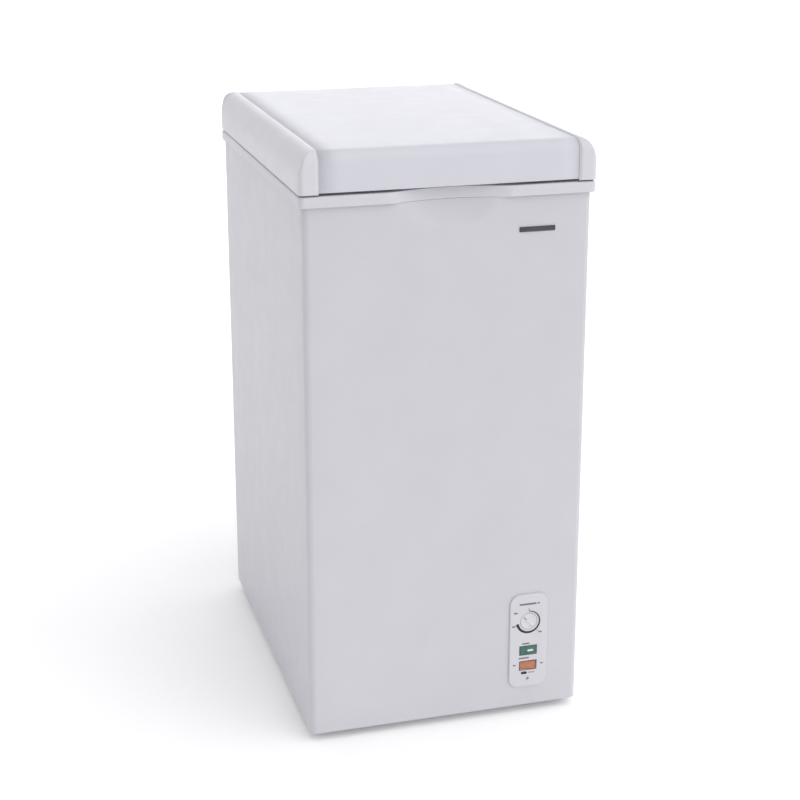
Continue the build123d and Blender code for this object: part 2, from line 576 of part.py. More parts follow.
def hinge_leaf(x):
    """Lid half: a plate on the lid's rear face with the knuckle that turns on the pin."""
    face = REAR - PANEL_SINK
    body = block(x - 22, x + 22, face, face + 2.5, HINGE_Z + 8.3, HINGE_Z + 44)
    body += block(x - BARREL / 2, x + BARREL / 2, REAR + 0.4, HINGE_Y - 2, HINGE_Z, HINGE_Z + 12)
    body += peg(7.1, (x - BARREL / 2, HINGE_Y, HINGE_Z), BARREL, (1, 0, 0))
    body -= peg(PIN_RADIUS + RUNNING_GAP, (x - 30, HINGE_Y, HINGE_Z), 60, (1, 0, 0))
    for screw_x, z in LEAF_SCREWS:
        body -= peg(1.8, (screw_x, face - 5, z), 10, (0, 1, 0))
    return body


# ---- lid ----------------------------------------------------------------------------------------
def lid_block(inset):
    """The lid's outside moved inward: where its end, side and top outlines meet."""
    half, front, rear, top = HALF - inset, FRONT + inset, REAR - inset, HEIGHT - inset
    shoulder_x = HALF - CAP_WIDTH
    bottom = CAP_BOTTOM - 10
    across = Line((shoulder_x, top), (-shoulder_x, top))
    across += Polyline((-half, CAP_SHOULDER), (-half, bottom), (half, bottom), (half, CAP_SHOULDER))
    for side, start in ((1, 0), (-1, 90)):
        across += EllipticalCenterArc((side * shoulder_x, CAP_SHOULDER), half - shoulder_x,
                                      top - CAP_SHOULDER, start, arc_size=90)
    body = Pos(0, REAR + 50, 0) * extrude(Plane.XZ * make_face(across), LID_DEPTH + 100)
    front_roll, rear_roll = 20 - inset, 10 - inset
    outline = Pos((front + rear) / 2, (top + bottom) / 2) * Rectangle(rear - front, top - bottom)
    corners = outline.vertices().group_by(Axis.Y)[-1].sort_by(Axis.X)
    outline = fillet(corners[0], front_roll)
    corners = outline.vertices().filter_by(lambda v: v.Y > top - 1).sort_by(Axis.X)
    outline = fillet(corners[-1], rear_roll)
    body &= Pos(-WIDTH, 0, 0) * extrude(Plane.YZ * outline, 2 * WIDTH)
    # a little larger than the prisms, so that its corners cross their faces instead of touching them
    body &= rounded(half + 0.1, front - 0.1, rear + 0.1, bottom - 1, top + 1, 7 - inset)
    return body.solids().sort_by(SortBy.VOLUME)[-1]


def lid_panel():
    """Painted sheet over the lid between the end caps, turned down at the front and the rear."""
    half = HALF - CAP_WIDTH - 0.1
    body = lid_block(PANEL_SINK) - lid_block(LID_SKIN)
    body &= block(-half, half, FRONT, REAR, PANEL_SKIRT_BOTTOM, HEIGHT)
    for x, z in LEAF_SCREWS:
        body -= peg(1.8, (x, REAR - 10, z), 20, (0, 1, 0))
    return body


def end_cap(side):
    """Moulded end of the lid, with a turned-in edge where it meets the sheet."""
    x0, x1 = sorted((side * (HALF - CAP_WIDTH), side * HALF))
    return (lid_block(0) - lid_block(LID_SKIN)) & block(x0, x1, FRONT, REAR, CAP_BOTTOM, HEIGHT)


INNER_Z = 795.0                                  # underside of the lid's inner plate
INNER_TOP = INNER_Z + 2.0


def lid_tray(inset, top):
    """The space of the tray on the lid's inner face."""
    half, front, rear, bottom = PLUG
    body = rounded(half - inset, front + inset, rear - inset, bottom + inset, top, 24 - inset)
    return fillet(body.edges().group_by(Axis.Z)[0], 8 - inset)


def lid_inner_panel():
    """Inner face of the lid: a plate with a tray that reaches down into the throat."""
    body = lid_block(LID_SKIN) & block(-HALF, HALF, FRONT, REAR, INNER_Z, INNER_TOP)
    return body + lid_tray(0, INNER_Z + 1) - lid_tray(2, INNER_TOP + 1)


def lid_foam():
    body = lid_block(LID_SKIN) & block(-HALF, HALF, FRONT, REAR, INNER_TOP, HEIGHT)
    body += lid_tray(2, INNER_TOP + 1)
    for x, z in LEAF_SCREWS:
        body -= peg(1.8, (x, REAR - 12, z), 20, (0, 1, 0))
    return body


def lid_gasket():
    """Soft magnetic seal on the underside of the lid, over the rim."""
    outer, inner = (185.0, FRONT + 22, REAR - 18), (167.0, FRONT + 40, REAR - 36)
    body = ring(outer, 30, inner, 14, RIM_TOP + 0.3, INNER_Z)
    groove_outer, groove_inner = (181.0, FRONT + 26, REAR - 22), (171.0, FRONT + 36, REAR - 32)
    return body - ring(groove_outer, 26, groove_inner, 16, RIM_TOP + 4, RIM_TOP + 6)


# ---- basket -------------------------------------------------------------------------------------
def wire_ring(z, radius):
    """A closed rounded loop of wire."""
    middle = (BASKET_FRONT + BASKET_REAR) / 2
    outline = RectangleRounded(2 * BASKET_HALF, BASKET_REAR - BASKET_FRONT, BASKET_CORNER)
    path = Pos(0, middle, z) * outline.wire()
    start = path @ 0
    return sweep(Plane(origin=start, z_dir=path % 0) * Circle(radius), path=path)


def spread(low, high, count):
    """Evenly spaced places between two ends."""
    return [low + (high - low) * i / (count - 1) for i in range(count)]


INSIDE = FRAME_WIRE + MESH_WIRE + WELD_GAP       # mesh wires stand this far inside the rails
FLOOR_Z = BASKET_BOTTOM + INSIDE


def side_grid(x):
    """Upright wires of a side, with one wire along them."""
    z0, z1 = FLOOR_Z + 2 * INSIDE, BASKET_TOP + 1
    wires = [peg(MESH_WIRE, (x, y, z0), z1 - z0) for y in spread(BASKET_FRONT + 32, BASKET_REAR - 32, 6)]
    inner = x - (2 * MESH_WIRE + WELD_GAP) * (1 if x > 0 else -1)
    y0, y1 = BASKET_FRONT + 24, BASKET_REAR - 24
    return group(wires + [peg(MESH_WIRE, (inner, y0, (z0 + z1) / 2), y1 - y0, (0, 1, 0))])


def end_grid(y, inward):
    """Upright wires of the front or the rear, with one wire along them."""
    z0, z1 = FLOOR_Z + 2 * INSIDE, BASKET_TOP + 1
    half = BASKET_HALF - 32
    wires = [peg(MESH_WIRE, (x, y, z0), z1 - z0) for x in spread(-half, half, 9)]
    along_y = y + inward * (2 * MESH_WIRE + WELD_GAP)
    along = peg(MESH_WIRE, (-half - 6, along_y, (z0 + z1) / 2), 2 * half + 12, (1, 0, 0))
    return group(wires + [along])


def floor_grid():
    """Crossed wires of the basket's floor, lying on the lower rail."""
    half, y0, y1 = BASKET_HALF - 0.5, BASKET_FRONT + 0.5, BASKET_REAR - 0.5
    across = [peg(MESH_WIRE, (-half, y, FLOOR_Z), 2 * half, (1, 0, 0))
              for y in spread(BASKET_FRONT + 28, BASKET_REAR - 28, 7)]
    upper = FLOOR_Z + 2 * MESH_WIRE + WELD_GAP
    along = [peg(MESH_WIRE, (x, y0, upper), y1 - y0, (0, 1, 0))
             for x in spread(-BASKET_HALF + 28, BASKET_HALF - 28, 10)]
    return group(across + along)


def basket_handle(side):
    """Wire loop welded inside the top rail and turned outward, so that it hangs on the rim's ledge."""
    x_in, x_out = side * (BASKET_HALF - 2 * FRAME_WIRE - WELD_GAP - 3.1), side * (TUB_HALF + 4.7)
    z_top, z_low, y0, y1 = LEDGE_Z + FRAME_WIRE + 0.3, 738.0, 58.0, 150.0
    route = [(x_in, y0, z_low), (x_in, y0, z_top), (x_out, y0, z_top), (x_out, y1, z_top), (x_in, y1, z_top),
             (x_in, y1, z_low)]
    return tube(route, FRAME_WIRE, 5)


# ---- all the pieces -----------------------------------------------------------------------------
evaporator, condenser = evaporator_tube(), condenser_tube()
nodes = {
    "outer_shell": outer_shell(),
    "back_panel": back_panel(),
    "inner_liner": inner_liner(),
    "rim_collar": rim_collar(),
    "insulation_foam": insulation_foam([evaporator, condenser]),
    "deck_plate": deck_plate(),
    "base_pan": base_pan(),
    "base_studs": group([stud(x, y, 3, 26, BASE_TOP) for x, y in FOOT_SPOTS.values()]
                        + [stud(x, y, BASE_Z, 48, POT_Z + 5) for x, y in GROMMET_SPOTS]),
    "compressor": compressor_pot(),
    "compressor_mount_plate": compressor_mount_plate(),
    "compressor_grommets": group(grommet(x, y) for x, y in GROMMET_SPOTS),
    "terminal_cover": terminal_cover(),
    "start_relay": start_relay(),
    "suction_pipe": suction_pipe(),
    "discharge_pipe": discharge_pipe(),
    "filter_drier": filter_drier(),
    "capillary_tube": capillary_tube(),
    "condenser_tube": condenser,
    "evaporator_tube": evaporator,
    "rear_cover": rear_cover(),
    "rear_screws": group([screw((x, COVER_FACE, z), (0, 1, 0), 8) for x, z in COVER_SCREWS]
                         + [screw((x, SHELL_REAR + 2.5, z), (0, 1, 0), 12) for x, z in BRACKET_SCREWS]),
    "cord_gland": cord_gland(),
    "drain_pipe": drain_pipe(),
    "drain_plug": drain_plug(),
    "drain_cap": drain_cap(),
    "control_panel": control_panel(),
    "control_box": control_box(),
    "thermostat": thermostat(),
    "thermostat_shaft": thermostat_shaft(),
    "temperature_knob": temperature_knob(),
    "power_lamp": power_lamp(),
    "lamp_holder": lamp_holder(),
    "switch_housing": switch_housing(),
    "quick_freeze_rocker": quick_freeze_rocker(),
    "wiring_harness": wiring_harness(),
    "badge": badge(),
    "lid_panel": lid_panel(),
    "lid_inner_panel": lid_inner_panel(),
    "lid_foam": lid_foam(),
    "lid_gasket": lid_gasket(),
    "leaf_screws": group(screw((x, REAR - PANEL_SINK + 2.5, z), (0, 1, 0), 12) for x, z in LEAF_SCREWS),
    "basket_top_rail": wire_ring(BASKET_TOP, FRAME_WIRE),
    "basket_lower_rail": wire_ring(BASKET_BOTTOM, FRAME_WIRE),
    "basket_floor_wires": floor_grid(),
    "basket_front_wires": end_grid(BASKET_FRONT + INSIDE, 1),
    "basket_rear_wires": end_grid(BASKET_REAR - INSIDE, -1),
}
for name, (x, y) in FOOT_SPOTS.items():
    nodes[f"{name}_foot"] = foot(x, y)
for name, side in (("left", -1), ("right", 1)):
    nodes[f"{name}_end_cap"] = end_cap(side)
    nodes[f"{name}_hinge_bracket"] = hinge_bracket(side * HINGE_X)
    nodes[f"{name}_hinge_leaf"] = hinge_leaf(side * HINGE_X)
    nodes[f"basket_{name}_wires"] = side_grid(side * (BASKET_HALF - INSIDE))
nodes["hinge_pins"] = group(peg(PIN_RADIUS, (side * HINGE_X - 19.5, HINGE_Y, HINGE_Z), 39, (1, 0, 0))
                            for side in (-1, 1))
nodes["basket_handles"] = group(basket_handle(side) for side in (-1, 1))

os.makedirs("parts", exist_ok=True)
for name, shape in nodes.items():
    export_step(shape, f"parts/{name}.step")
print(len(nodes), "nodes written")
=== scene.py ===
import json
import math
import bpy
import bmesh
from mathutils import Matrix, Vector


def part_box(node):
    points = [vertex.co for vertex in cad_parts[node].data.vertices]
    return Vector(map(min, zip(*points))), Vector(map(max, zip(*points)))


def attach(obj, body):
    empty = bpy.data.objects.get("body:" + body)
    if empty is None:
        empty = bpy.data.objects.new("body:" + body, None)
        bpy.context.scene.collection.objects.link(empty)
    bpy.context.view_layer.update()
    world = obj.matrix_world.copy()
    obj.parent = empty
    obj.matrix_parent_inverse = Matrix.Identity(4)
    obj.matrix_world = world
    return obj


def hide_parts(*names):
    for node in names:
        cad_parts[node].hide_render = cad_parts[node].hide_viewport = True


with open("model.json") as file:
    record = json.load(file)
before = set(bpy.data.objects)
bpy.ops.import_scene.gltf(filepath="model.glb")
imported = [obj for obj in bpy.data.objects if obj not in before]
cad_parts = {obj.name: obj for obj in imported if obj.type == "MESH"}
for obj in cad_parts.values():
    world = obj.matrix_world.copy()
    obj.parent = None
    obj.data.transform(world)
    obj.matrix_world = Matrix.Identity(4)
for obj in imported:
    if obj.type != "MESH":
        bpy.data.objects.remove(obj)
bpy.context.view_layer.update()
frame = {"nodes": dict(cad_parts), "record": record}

record = frame["record"]
cadNodes = frame["nodes"]
bodyOfNode = {node: body for body, members in record["behaviour"]["bodies"].items() for node in members}
slotOfNode = {part["node"]: part["material_slot"] for part in record["subparts"]}
mm = 0.001
print("frame loaded,", len(cadNodes), "nodes")

# every finish, colours are linear; lengths are in metres
finishes = {
    "white_steel": dict(colour=(0.640, 0.632, 0.676), tint=(0.622, 0.615, 0.660), rough=(0.34, 0.44),
                        grain=(420, 0.00006), wave=(9, 0.0006), scuff=0.10, shine=0.22),
    "lid_steel": dict(colour=(0.675, 0.673, 0.735), tint=(0.662, 0.660, 0.723), rough=(0.32, 0.42),
                      grain=(420, 0.00005), wave=(7, 0.0005), scuff=0.05, shine=0.22),
    "galvanised": dict(colour=(0.50, 0.51, 0.53), tint=(0.36, 0.37, 0.39), rough=(0.28, 0.52), metal=1.0,
                       cells=(90, 0.9, 0.00002), grain=(900, 0.00002), scuff=0.25),
    "liner_white": dict(colour=(0.70, 0.71, 0.74), tint=(0.67, 0.68, 0.71), rough=(0.24, 0.36),
                        stucco=(210, 0.0005), grain=(900, 0.00003)),
    "rim_plastic": dict(colour=(0.675, 0.668, 0.716), tint=(0.660, 0.653, 0.700), rough=(0.38, 0.50),
                        grain=(1500, 0.00005), wave=(14, 0.0003), scuff=0.08, shine=0.25),
    "cap_plastic": dict(colour=(0.690, 0.686, 0.735), tint=(0.675, 0.671, 0.720), rough=(0.32, 0.44),
                        grain=(1500, 0.00005), wave=(12, 0.0003), scuff=0.06, shine=0.25),
    "lid_inner_plastic": dict(colour=(0.70, 0.70, 0.73), tint=(0.67, 0.675, 0.71), rough=(0.20, 0.32),
                              grain=(700, 0.00004), wave=(10, 0.0008), coat=0.3),
    "foam": dict(colour=(0.78, 0.62, 0.33), tint=(0.68, 0.50, 0.24), rough=(0.8, 0.95),
                 cells=(420, 0.25, 0.0006), grain=(160, 0.0008)),
    "gasket": dict(colour=(0.50, 0.50, 0.53), tint=(0.44, 0.44, 0.47), rough=(0.50, 0.66),
                   grain=(800, 0.00006), scuff=0.15),
    "zinc_steel": dict(colour=(0.58, 0.58, 0.55), tint=(0.48, 0.47, 0.42), rough=(0.22, 0.42), metal=1.0,
                       grain=(1100, 0.00003), scuff=0.3),
    "hinge_steel": dict(colour=(0.56, 0.57, 0.58), tint=(0.47, 0.47, 0.46), rough=(0.25, 0.45), metal=1.0,
                        grain=(260, 0.00004), stretch=(0.05, 1, 1), scuff=0.3),
    "black_plastic": dict(colour=(0.022, 0.022, 0.024), tint=(0.032, 0.032, 0.034), rough=(0.42, 0.60),
                          grain=(900, 0.00008), scuff=0.35),
    "black_steel": dict(colour=(0.012, 0.012, 0.013), tint=(0.020, 0.020, 0.021), rough=(0.26, 0.42),
                        grain=(380, 0.00008), coat=0.5, scuff=0.3),
    "rubber": dict(colour=(0.018, 0.018, 0.019), tint=(0.030, 0.030, 0.031), rough=(0.62, 0.80),
                   grain=(700, 0.00010), scuff=0.4),
    "plug_rubber": dict(colour=(0.42, 0.42, 0.44), tint=(0.36, 0.36, 0.38), rough=(0.55, 0.70),
                        grain=(700, 0.00008)),
    "relay_plastic": dict(colour=(0.55, 0.50, 0.40), tint=(0.50, 0.45, 0.35), rough=(0.45, 0.6),
                          grain=(900, 0.00006)),
    "copper": dict(colour=(0.72, 0.34, 0.20), tint=(0.42, 0.19, 0.11), rough=(0.22, 0.46), metal=1.0,
                   grain=(500, 0.00003), tintScale=38, scuff=0.3),
    "tube_steel": dict(colour=(0.36, 0.30, 0.26), tint=(0.26, 0.22, 0.20), rough=(0.35, 0.55), metal=1.0,
                       grain=(500, 0.00004)),
    "aluminium_tube": dict(colour=(0.72, 0.73, 0.74), tint=(0.62, 0.63, 0.64), rough=(0.25, 0.42), metal=1.0,
                           grain=(500, 0.00003)),
    "grey_plastic": dict(colour=(0.30, 0.31, 0.33), tint=(0.27, 0.28, 0.30), rough=(0.42, 0.56),
                         grain=(900, 0.00006), scuff=0.2),
    "panel_plastic": dict(colour=(0.660, 0.655, 0.695), tint=(0.645, 0.640, 0.680), rough=(0.34, 0.46),
                          grain=(1600, 0.00004), wave=(40, 0.0001)),
    "knob_plastic": dict(colour=(0.70, 0.70, 0.73), tint=(0.68, 0.68, 0.71), rough=(0.28, 0.40),
                         grain=(1300, 0.00004), coat=0.2),
    "green_lens": dict(colour=(0.012, 0.140, 0.095), tint=(0.008, 0.090, 0.065), rough=(0.10, 0.20),
                       grain=(600, 0.00004), tintScale=120, coat=0.8),
    "orange_plastic": dict(colour=(0.560, 0.190, 0.070), tint=(0.420, 0.130, 0.050), rough=(0.14, 0.26),
                           grain=(900, 0.00004), tintScale=110, coat=0.7),
    "cable_grey": dict(colour=(0.10, 0.10, 0.11), tint=(0.08, 0.08, 0.09), rough=(0.5, 0.65),
                       grain=(600, 0.0001)),
    "badge_dark": dict(colour=(0.045, 0.045, 0.060), tint=(0.070, 0.070, 0.090), rough=(0.20, 0.34),
                       grain=(1400, 0.00003), metal=0.6, stretch=(0.04, 1, 1), coat=0.4),
    "coated_wire": dict(colour=(0.72, 0.73, 0.75), tint=(0.69, 0.70, 0.72), rough=(0.16, 0.30),
                        grain=(300, 0.00015), coat=0.5, scuff=0.1),
}
patches = dict(detail=5, roughness=0.55, span=(0.35, 0.65), glossRatio=3.1, glossDetail=4, glossSpan=(0.3, 0.7),
               coatRoughness=0.18)
scuffs = dict(scale=(38, 38, 7), turn=(0.4, 0.3, 0.2), detail=9, roughness=0.72, span=(0.58, 0.78),
              lowBelow=0.25, shareAbove=0.45, fade=0.55, dust=0.12)


def addNode(tree, kind, inputs=None, **settings):
    node = tree.nodes.new(kind)
    for name, value in settings.items():
        setattr(node, name, value)
    for name, value in (inputs or {}).items():
        if isinstance(value, bpy.types.NodeSocket):
            tree.links.new(value, node.inputs[name])
        else:
            node.inputs[name].default_value = value
    return node


def mixColour(tree, factor, first, second):
    node = addNode(tree, "ShaderNodeMix", data_type="RGBA")
    for socket, value in ((node.inputs[0], factor), (node.inputs[6], first), (node.inputs[7], second)):
        if isinstance(value, bpy.types.NodeSocket):
            tree.links.new(value, socket)
        else:
            socket.default_value = value
    return node.outputs[2]


def noise(tree, spot, scale, detail, roughness=0.5):
    return addNode(tree, "ShaderNodeTexNoise", {"Vector": spot, "Scale": scale, "Detail": detail,
                                                "Roughness": roughness}).outputs["Fac"]


def remap(tree, value, span, result=(0, 1)):
    return addNode(tree, "ShaderNodeMapRange", {"Value": value, "From Min": span[0], "From Max": span[1],
                                                "To Min": result[0], "To Max": result[1]}).outputs[0]


def combine(tree, operation, first, second):
    return addNode(tree, "ShaderNodeMath", {0: first, 1: second}, operation=operation).outputs[0]


def bumped(tree, height, distance, below=None, strength=0.5):
    node = addNode(tree, "ShaderNodeBump", {"Height": height, "Strength": strength, "Distance": distance})
    if below:
        tree.links.new(below, node.inputs["Normal"])
    return node.outputs["Normal"]


def makeFinish(name, colour, tint, rough, grain, tintScale=11, wave=None, cells=None, stucco=None, metal=0.0,
               coat=0.0, scuff=0.0, stretch=(1, 1, 1), shine=0.5):
    # grain, wave and stucco are (scale, depth); cells is (scale, strength of tone, depth)
    material = bpy.data.materials.new(name)
    material.use_nodes = True
    tree = material.node_tree
    shader = tree.nodes["Principled BSDF"]
    spot = addNode(tree, "ShaderNodeTexCoord").outputs["Object"]
    flow = addNode(tree, "ShaderNodeMapping", {"Vector": spot, "Scale": stretch}).outputs["Vector"]
    clouds = noise(tree, spot, tintScale, patches["detail"], patches["roughness"])
    paint = mixColour(tree, remap(tree, clouds, patches["span"]), (*colour, 1), (*tint, 1))
    polish = noise(tree, flow, tintScale * patches["glossRatio"], patches["glossDetail"])
    gloss = remap(tree, polish, patches["glossSpan"], rough)
    normal = bumped(tree, noise(tree, flow, grain[0], 2), grain[1], strength=0.6)
    if wave:    # slow unevenness of a large surface
        normal = bumped(tree, noise(tree, spot, wave[0], 1), wave[1], normal)
    if stucco:  # pressed pebble pattern
        pebble = addNode(tree, "ShaderNodeTexVoronoi", {"Vector": spot, "Scale": stucco[0]},
                         feature="SMOOTH_F1")
        normal = bumped(tree, pebble.outputs["Distance"], stucco[1], normal)
    if cells:   # zinc spangle or foam bubbles
        grid = addNode(tree, "ShaderNodeTexVoronoi", {"Vector": spot, "Scale": cells[0]}).outputs
        tone = addNode(tree, "ShaderNodeSeparateColor", {"Color": grid["Color"]}).outputs[0]
        paint = mixColour(tree, combine(tree, "MULTIPLY", tone, cells[1]), paint, (*tint, 1))
        normal = bumped(tree, grid["Distance"], cells[2], normal)
    if scuff:   # rubbed marks, more of them near the floor
        rub = addNode(tree, "ShaderNodeMapping", {"Vector": spot, "Scale": scuffs["scale"],
                                                  "Rotation": scuffs["turn"]}).outputs["Vector"]
        marks = noise(tree, rub, 1, scuffs["detail"], scuffs["roughness"])
        height = addNode(tree, "ShaderNodeSeparateXYZ", {"Vector": spot}).outputs["Z"]
        low = remap(tree, height, (0, scuffs["lowBelow"]), (1, scuffs["shareAbove"]))
        worn = combine(tree, "MULTIPLY", remap(tree, marks, scuffs["span"], (0, scuff)), low)
        dull = tuple(scuffs["fade"] * c + scuffs["dust"] for c in colour)
        paint = mixColour(tree, worn, paint, (*dull, 1))
        gloss = combine(tree, "ADD", gloss, worn)
    tree.links.new(paint, shader.inputs["Base Color"])
    tree.links.new(gloss, shader.inputs["Roughness"])
    tree.links.new(normal, shader.inputs["Normal"])
    shader.inputs["Metallic"].default_value = metal
    shader.inputs["Specular IOR Level"].default_value = shine
    shader.inputs["Coat Weight"].default_value = coat
    shader.inputs["Coat Roughness"].default_value = patches["coatRoughness"]
    return material


materials = {name: makeFinish(name, **spec) for name, spec in finishes.items()}
for nodeName, node in cadNodes.items():
    node.data.materials.clear()
    node.data.materials.append(materials[slotOfNode[nodeName]])
# flat colours laid on the fascia; the black one is print and also painted shade round the lamp and switch
# windows
inks = {
    "black_print_and_shade": dict(colour=(0.006, 0.006, 0.008), tint=(0.016, 0.016, 0.019), rough=(0.30, 0.42)),
    "ink_grey": dict(colour=(0.13, 0.13, 0.15), tint=(0.18, 0.18, 0.21), rough=(0.32, 0.44)),
    "ink_rose": dict(colour=(0.62, 0.30, 0.27), tint=(0.66, 0.36, 0.33), rough=(0.32, 0.44)),
    "pale_white": dict(colour=(0.78, 0.80, 0.80), tint=(0.70, 0.72, 0.72), rough=(0.30, 0.42)),
}
for name, spec in inks.items():
    materials[name] = makeFinish(name, **spec, grain=(900, 0.00002), tintScale=160)
print("finishes made,", len(materials))


# shared tools for shapes
def arc(first, last, steps):
    # the angles of a turn, both ends included
    return [math.radians(first + (last - first) * step / steps) for step in range(steps + 1)]


def addObject(name, data):
    obj = bpy.data.objects.new(name, data)
    bpy.context.scene.collection.objects.link(obj)
    return obj


def finishMesh(obj, angle=35, outward=True, weld=1e-6):
    shape = bmesh.new()
    shape.from_mesh(obj.data)
    bmesh.ops.remove_doubles(shape, verts=shape.verts, dist=weld)
    if outward:
        bmesh.ops.recalc_face_normals(shape, faces=shape.faces)
    for face in shape.faces:
        face.smooth = True
    for edge in shape.edges:
        edge.smooth = len(edge.link_faces) != 2 or edge.calc_face_angle(0) < math.radians(angle)
    shape.to_mesh(obj.data)
    shape.free()
    return obj


def meshObject(name, points, faces, **options):
    mesh = bpy.data.meshes.new(name)
    mesh.from_pydata(points, [], faces)
    return finishMesh(addObject(name, mesh), **options)


def loft(name, rings, closed=True, ends=(False, False), around=False, **options):
    # skin over rings that all have the same number of points
    count, points = len(rings[0]), [p for ring in rings for p in ring]
    faces = []
    for row in range(len(rings) if around else len(rings) - 1):
        low, high = row * count, (row + 1) % len(rings) * count
        for i in range(count if closed else count - 1):
            j = (i + 1) % count
            faces.append((low + i, low + j, high + j, high + i))
    if ends[0]:
        faces.append(tuple(reversed(range(count))))
    if ends[1]:
        faces.append(tuple(range(len(points) - count, len(points))))
    return meshObject(name, points, faces, **options)


def slab(name, front, depth):
    # a flat plate behind an outline
    return loft(name, [front, [(x, y + depth, z) for x, y, z in front]], ends=(True, True), angle=30)


def place(obj, body, slot, stands=(), material=None):
    # a finished piece: its material, the body it moves with, the nodes it stands for
    obj.data.materials.clear()
    obj.data.materials.append(materials[material or slot])
    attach(obj, body)
    if stands:
        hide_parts(*stands)


def bakedMesh(obj):
    view = bpy.context.evaluated_depsgraph_get()
    return bpy.data.meshes.new_from_object(obj.evaluated_get(view), depsgraph=view)


def bakeModifiers(obj):
    mesh = bakedMesh(obj)
    obj.modifiers.clear()
    obj.data = mesh


def rebuilt(obj):
    # the object as a plain mesh, in place of its curve or its modifiers
    name, mesh = obj.name, bakedMesh(obj)
    bpy.data.objects.remove(obj)
    return addObject(name, mesh)


def thicken(obj, thickness, offset=-1, even=False):
    wall = obj.modifiers.new("sheet", "SOLIDIFY")
    wall.thickness, wall.offset, wall.use_even_offset = thickness, offset, even
    bakeModifiers(obj)


edges = dict(weld=2e-6, flat=0.6, angle=35)


def soften(nodeName, bevel=0.4, segments=2):
    # a copy of a CAD piece with merged faces and small rounded edges, bevel in mm
    obj = addObject("fine_" + nodeName, cadNodes[nodeName].data.copy())
    shape = bmesh.new()
    shape.from_mesh(obj.data)
    bmesh.ops.remove_doubles(shape, verts=shape.verts, dist=edges["weld"])
    bmesh.ops.dissolve_limit(shape, angle_limit=math.radians(edges["flat"]), verts=shape.verts,
                             edges=shape.edges)
    shape.to_mesh(obj.data)
    shape.free()
    if bevel:
        edge = obj.modifiers.new("edges", "BEVEL")
        edge.width, edge.segments, edge.limit_method = bevel * mm, segments, "ANGLE"
        edge.angle_limit = math.radians(edges["angle"])
        bakeModifiers(obj)
    finishMesh(obj, outward=False, weld=1e-7)
    place(obj, bodyOfNode[nodeName], slotOfNode[nodeName], [nodeName])


def cornerLoop(box, radius, z, steps=8, frontXs=()):
    # rounded rectangle seen from above, counter-clockwise, box is (x0, y0, x1, y1)
    x0, y0, x1, y1 = box
    r = min(radius, (x1 - x0) / 2, (y1 - y0) / 2)
    centres = ((x1 - r, y0 + r), (x1 - r, y1 - r), (x0 + r, y1 - r), (x0 + r, y0 + r))
    loop = []
    for quarter, (cx, cy) in enumerate(centres):
        for turn in arc(-90 + 90 * quarter, 90 * quarter, steps):
            loop.append((cx + r * math.cos(turn), cy + r * math.sin(turn), z))
    return loop + [(x, y0, z) for x in frontXs]


def sunk(box, inset):
    return box[0] + inset, box[1] + inset, box[2] - inset, box[3] - inset


def outline(node):
    low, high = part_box(node)
    return (low.x, low.y, high.x, high.y)


def curveObject(name, points, closed=False):
    curve = bpy.data.curves.new(name, "CURVE")
    curve.dimensions = "3D"
    line = curve.splines.new("POLY")
    line.points.add(len(points) - 1)
    for point, spot in zip(line.points, points):
        point.co = (*spot, 1)
    line.use_cyclic_u = closed
    return addObject(name, curve)


def tubeCurve(name, points, radius, closed=False, sides=3):
    obj = curveObject(name, points, closed)
    obj.data.bevel_depth, obj.data.bevel_resolution, obj.data.use_fill_caps = radius, sides, not closed
    return finishMesh(rebuilt(obj), outward=False)


def join(name, objects):
    mesh = bpy.data.meshes.new(name)
    shape = bmesh.new()
    for obj in objects:
        shape.from_mesh(obj.data)
        bpy.data.objects.remove(obj)
    shape.to_mesh(mesh)
    shape.free()
    return addObject(name, mesh)


# node trees that repeat a piece
def startTree(name, sockets):
    tree = bpy.data.node_groups.new(name, "GeometryNodeTree")
    tree.interface.new_socket("Geometry", in_out="INPUT", socket_type="NodeSocketGeometry")
    for label, kind in sockets:
        tree.interface.new_socket(label, in_out="INPUT", socket_type="NodeSocket" + kind)
    tree.interface.new_socket("Geometry", in_out="OUTPUT", socket_type="NodeSocketGeometry")
    return tree, addNode(tree, "NodeGroupInput").outputs


def endTree(tree, geometry, material):
    whole = addNode(tree, "GeometryNodeRealizeInstances", {"Geometry": geometry}).outputs[0]
    coloured = addNode(tree, "GeometryNodeSetMaterial", {"Geometry": whole, "Material": material}).outputs[0]
    addNode(tree, "NodeGroupOutput", {"Geometry": coloured})
    return tree


def runTree(obj, tree, values):
    step = obj.modifiers.new(tree.name, "NODES")
    step.node_group = tree
    for item in tree.interface.items_tree:
        if item.in_out == "INPUT" and item.name in values:
            step[item.identifier] = values[item.name]
    return rebuilt(obj)


def copyRow(tree, given):
    line = addNode(tree, "GeometryNodeMeshLine", {"Count": given["Count"], "Offset": given["Step"]})
    copies = addNode(tree, "GeometryNodeInstanceOnPoints", {"Points": line.outputs[0],
                                                            "Instance": given["Geometry"]})
    return copies.outputs[0]


def rowTree():
    # copies of a mesh along a straight row
    tree, given = startTree("row", (("Count", "Int"), ("Step", "Vector"), ("Material", "Material")))
    return endTree(tree, copyRow(tree, given), given["Material"])


def wireTree():
    # a row of equal wires bent along a curve
    tree, given = startTree("wires", (("Count", "Int"), ("Step", "Vector"), ("Radius", "Float"),
                                      ("Material", "Material")))
    lines = addNode(tree, "GeometryNodeRealizeInstances", {"Geometry": copyRow(tree, given)}).outputs[0]
    section = addNode(tree, "GeometryNodeCurvePrimitiveCircle", {"Resolution": 10, "Radius": given["Radius"]})
    bars = addNode(tree, "GeometryNodeCurveToMesh", {"Curve": lines, "Profile Curve": section.outputs[0],
                                                     "Fill Caps": True})
    return endTree(tree, bars.outputs[0], given["Material"])


screws = dict(radius=4 * mm, height=2.3 * mm, seed=7, segments=28, rings=14, crossLength=1.15, crossWidth=0.24)


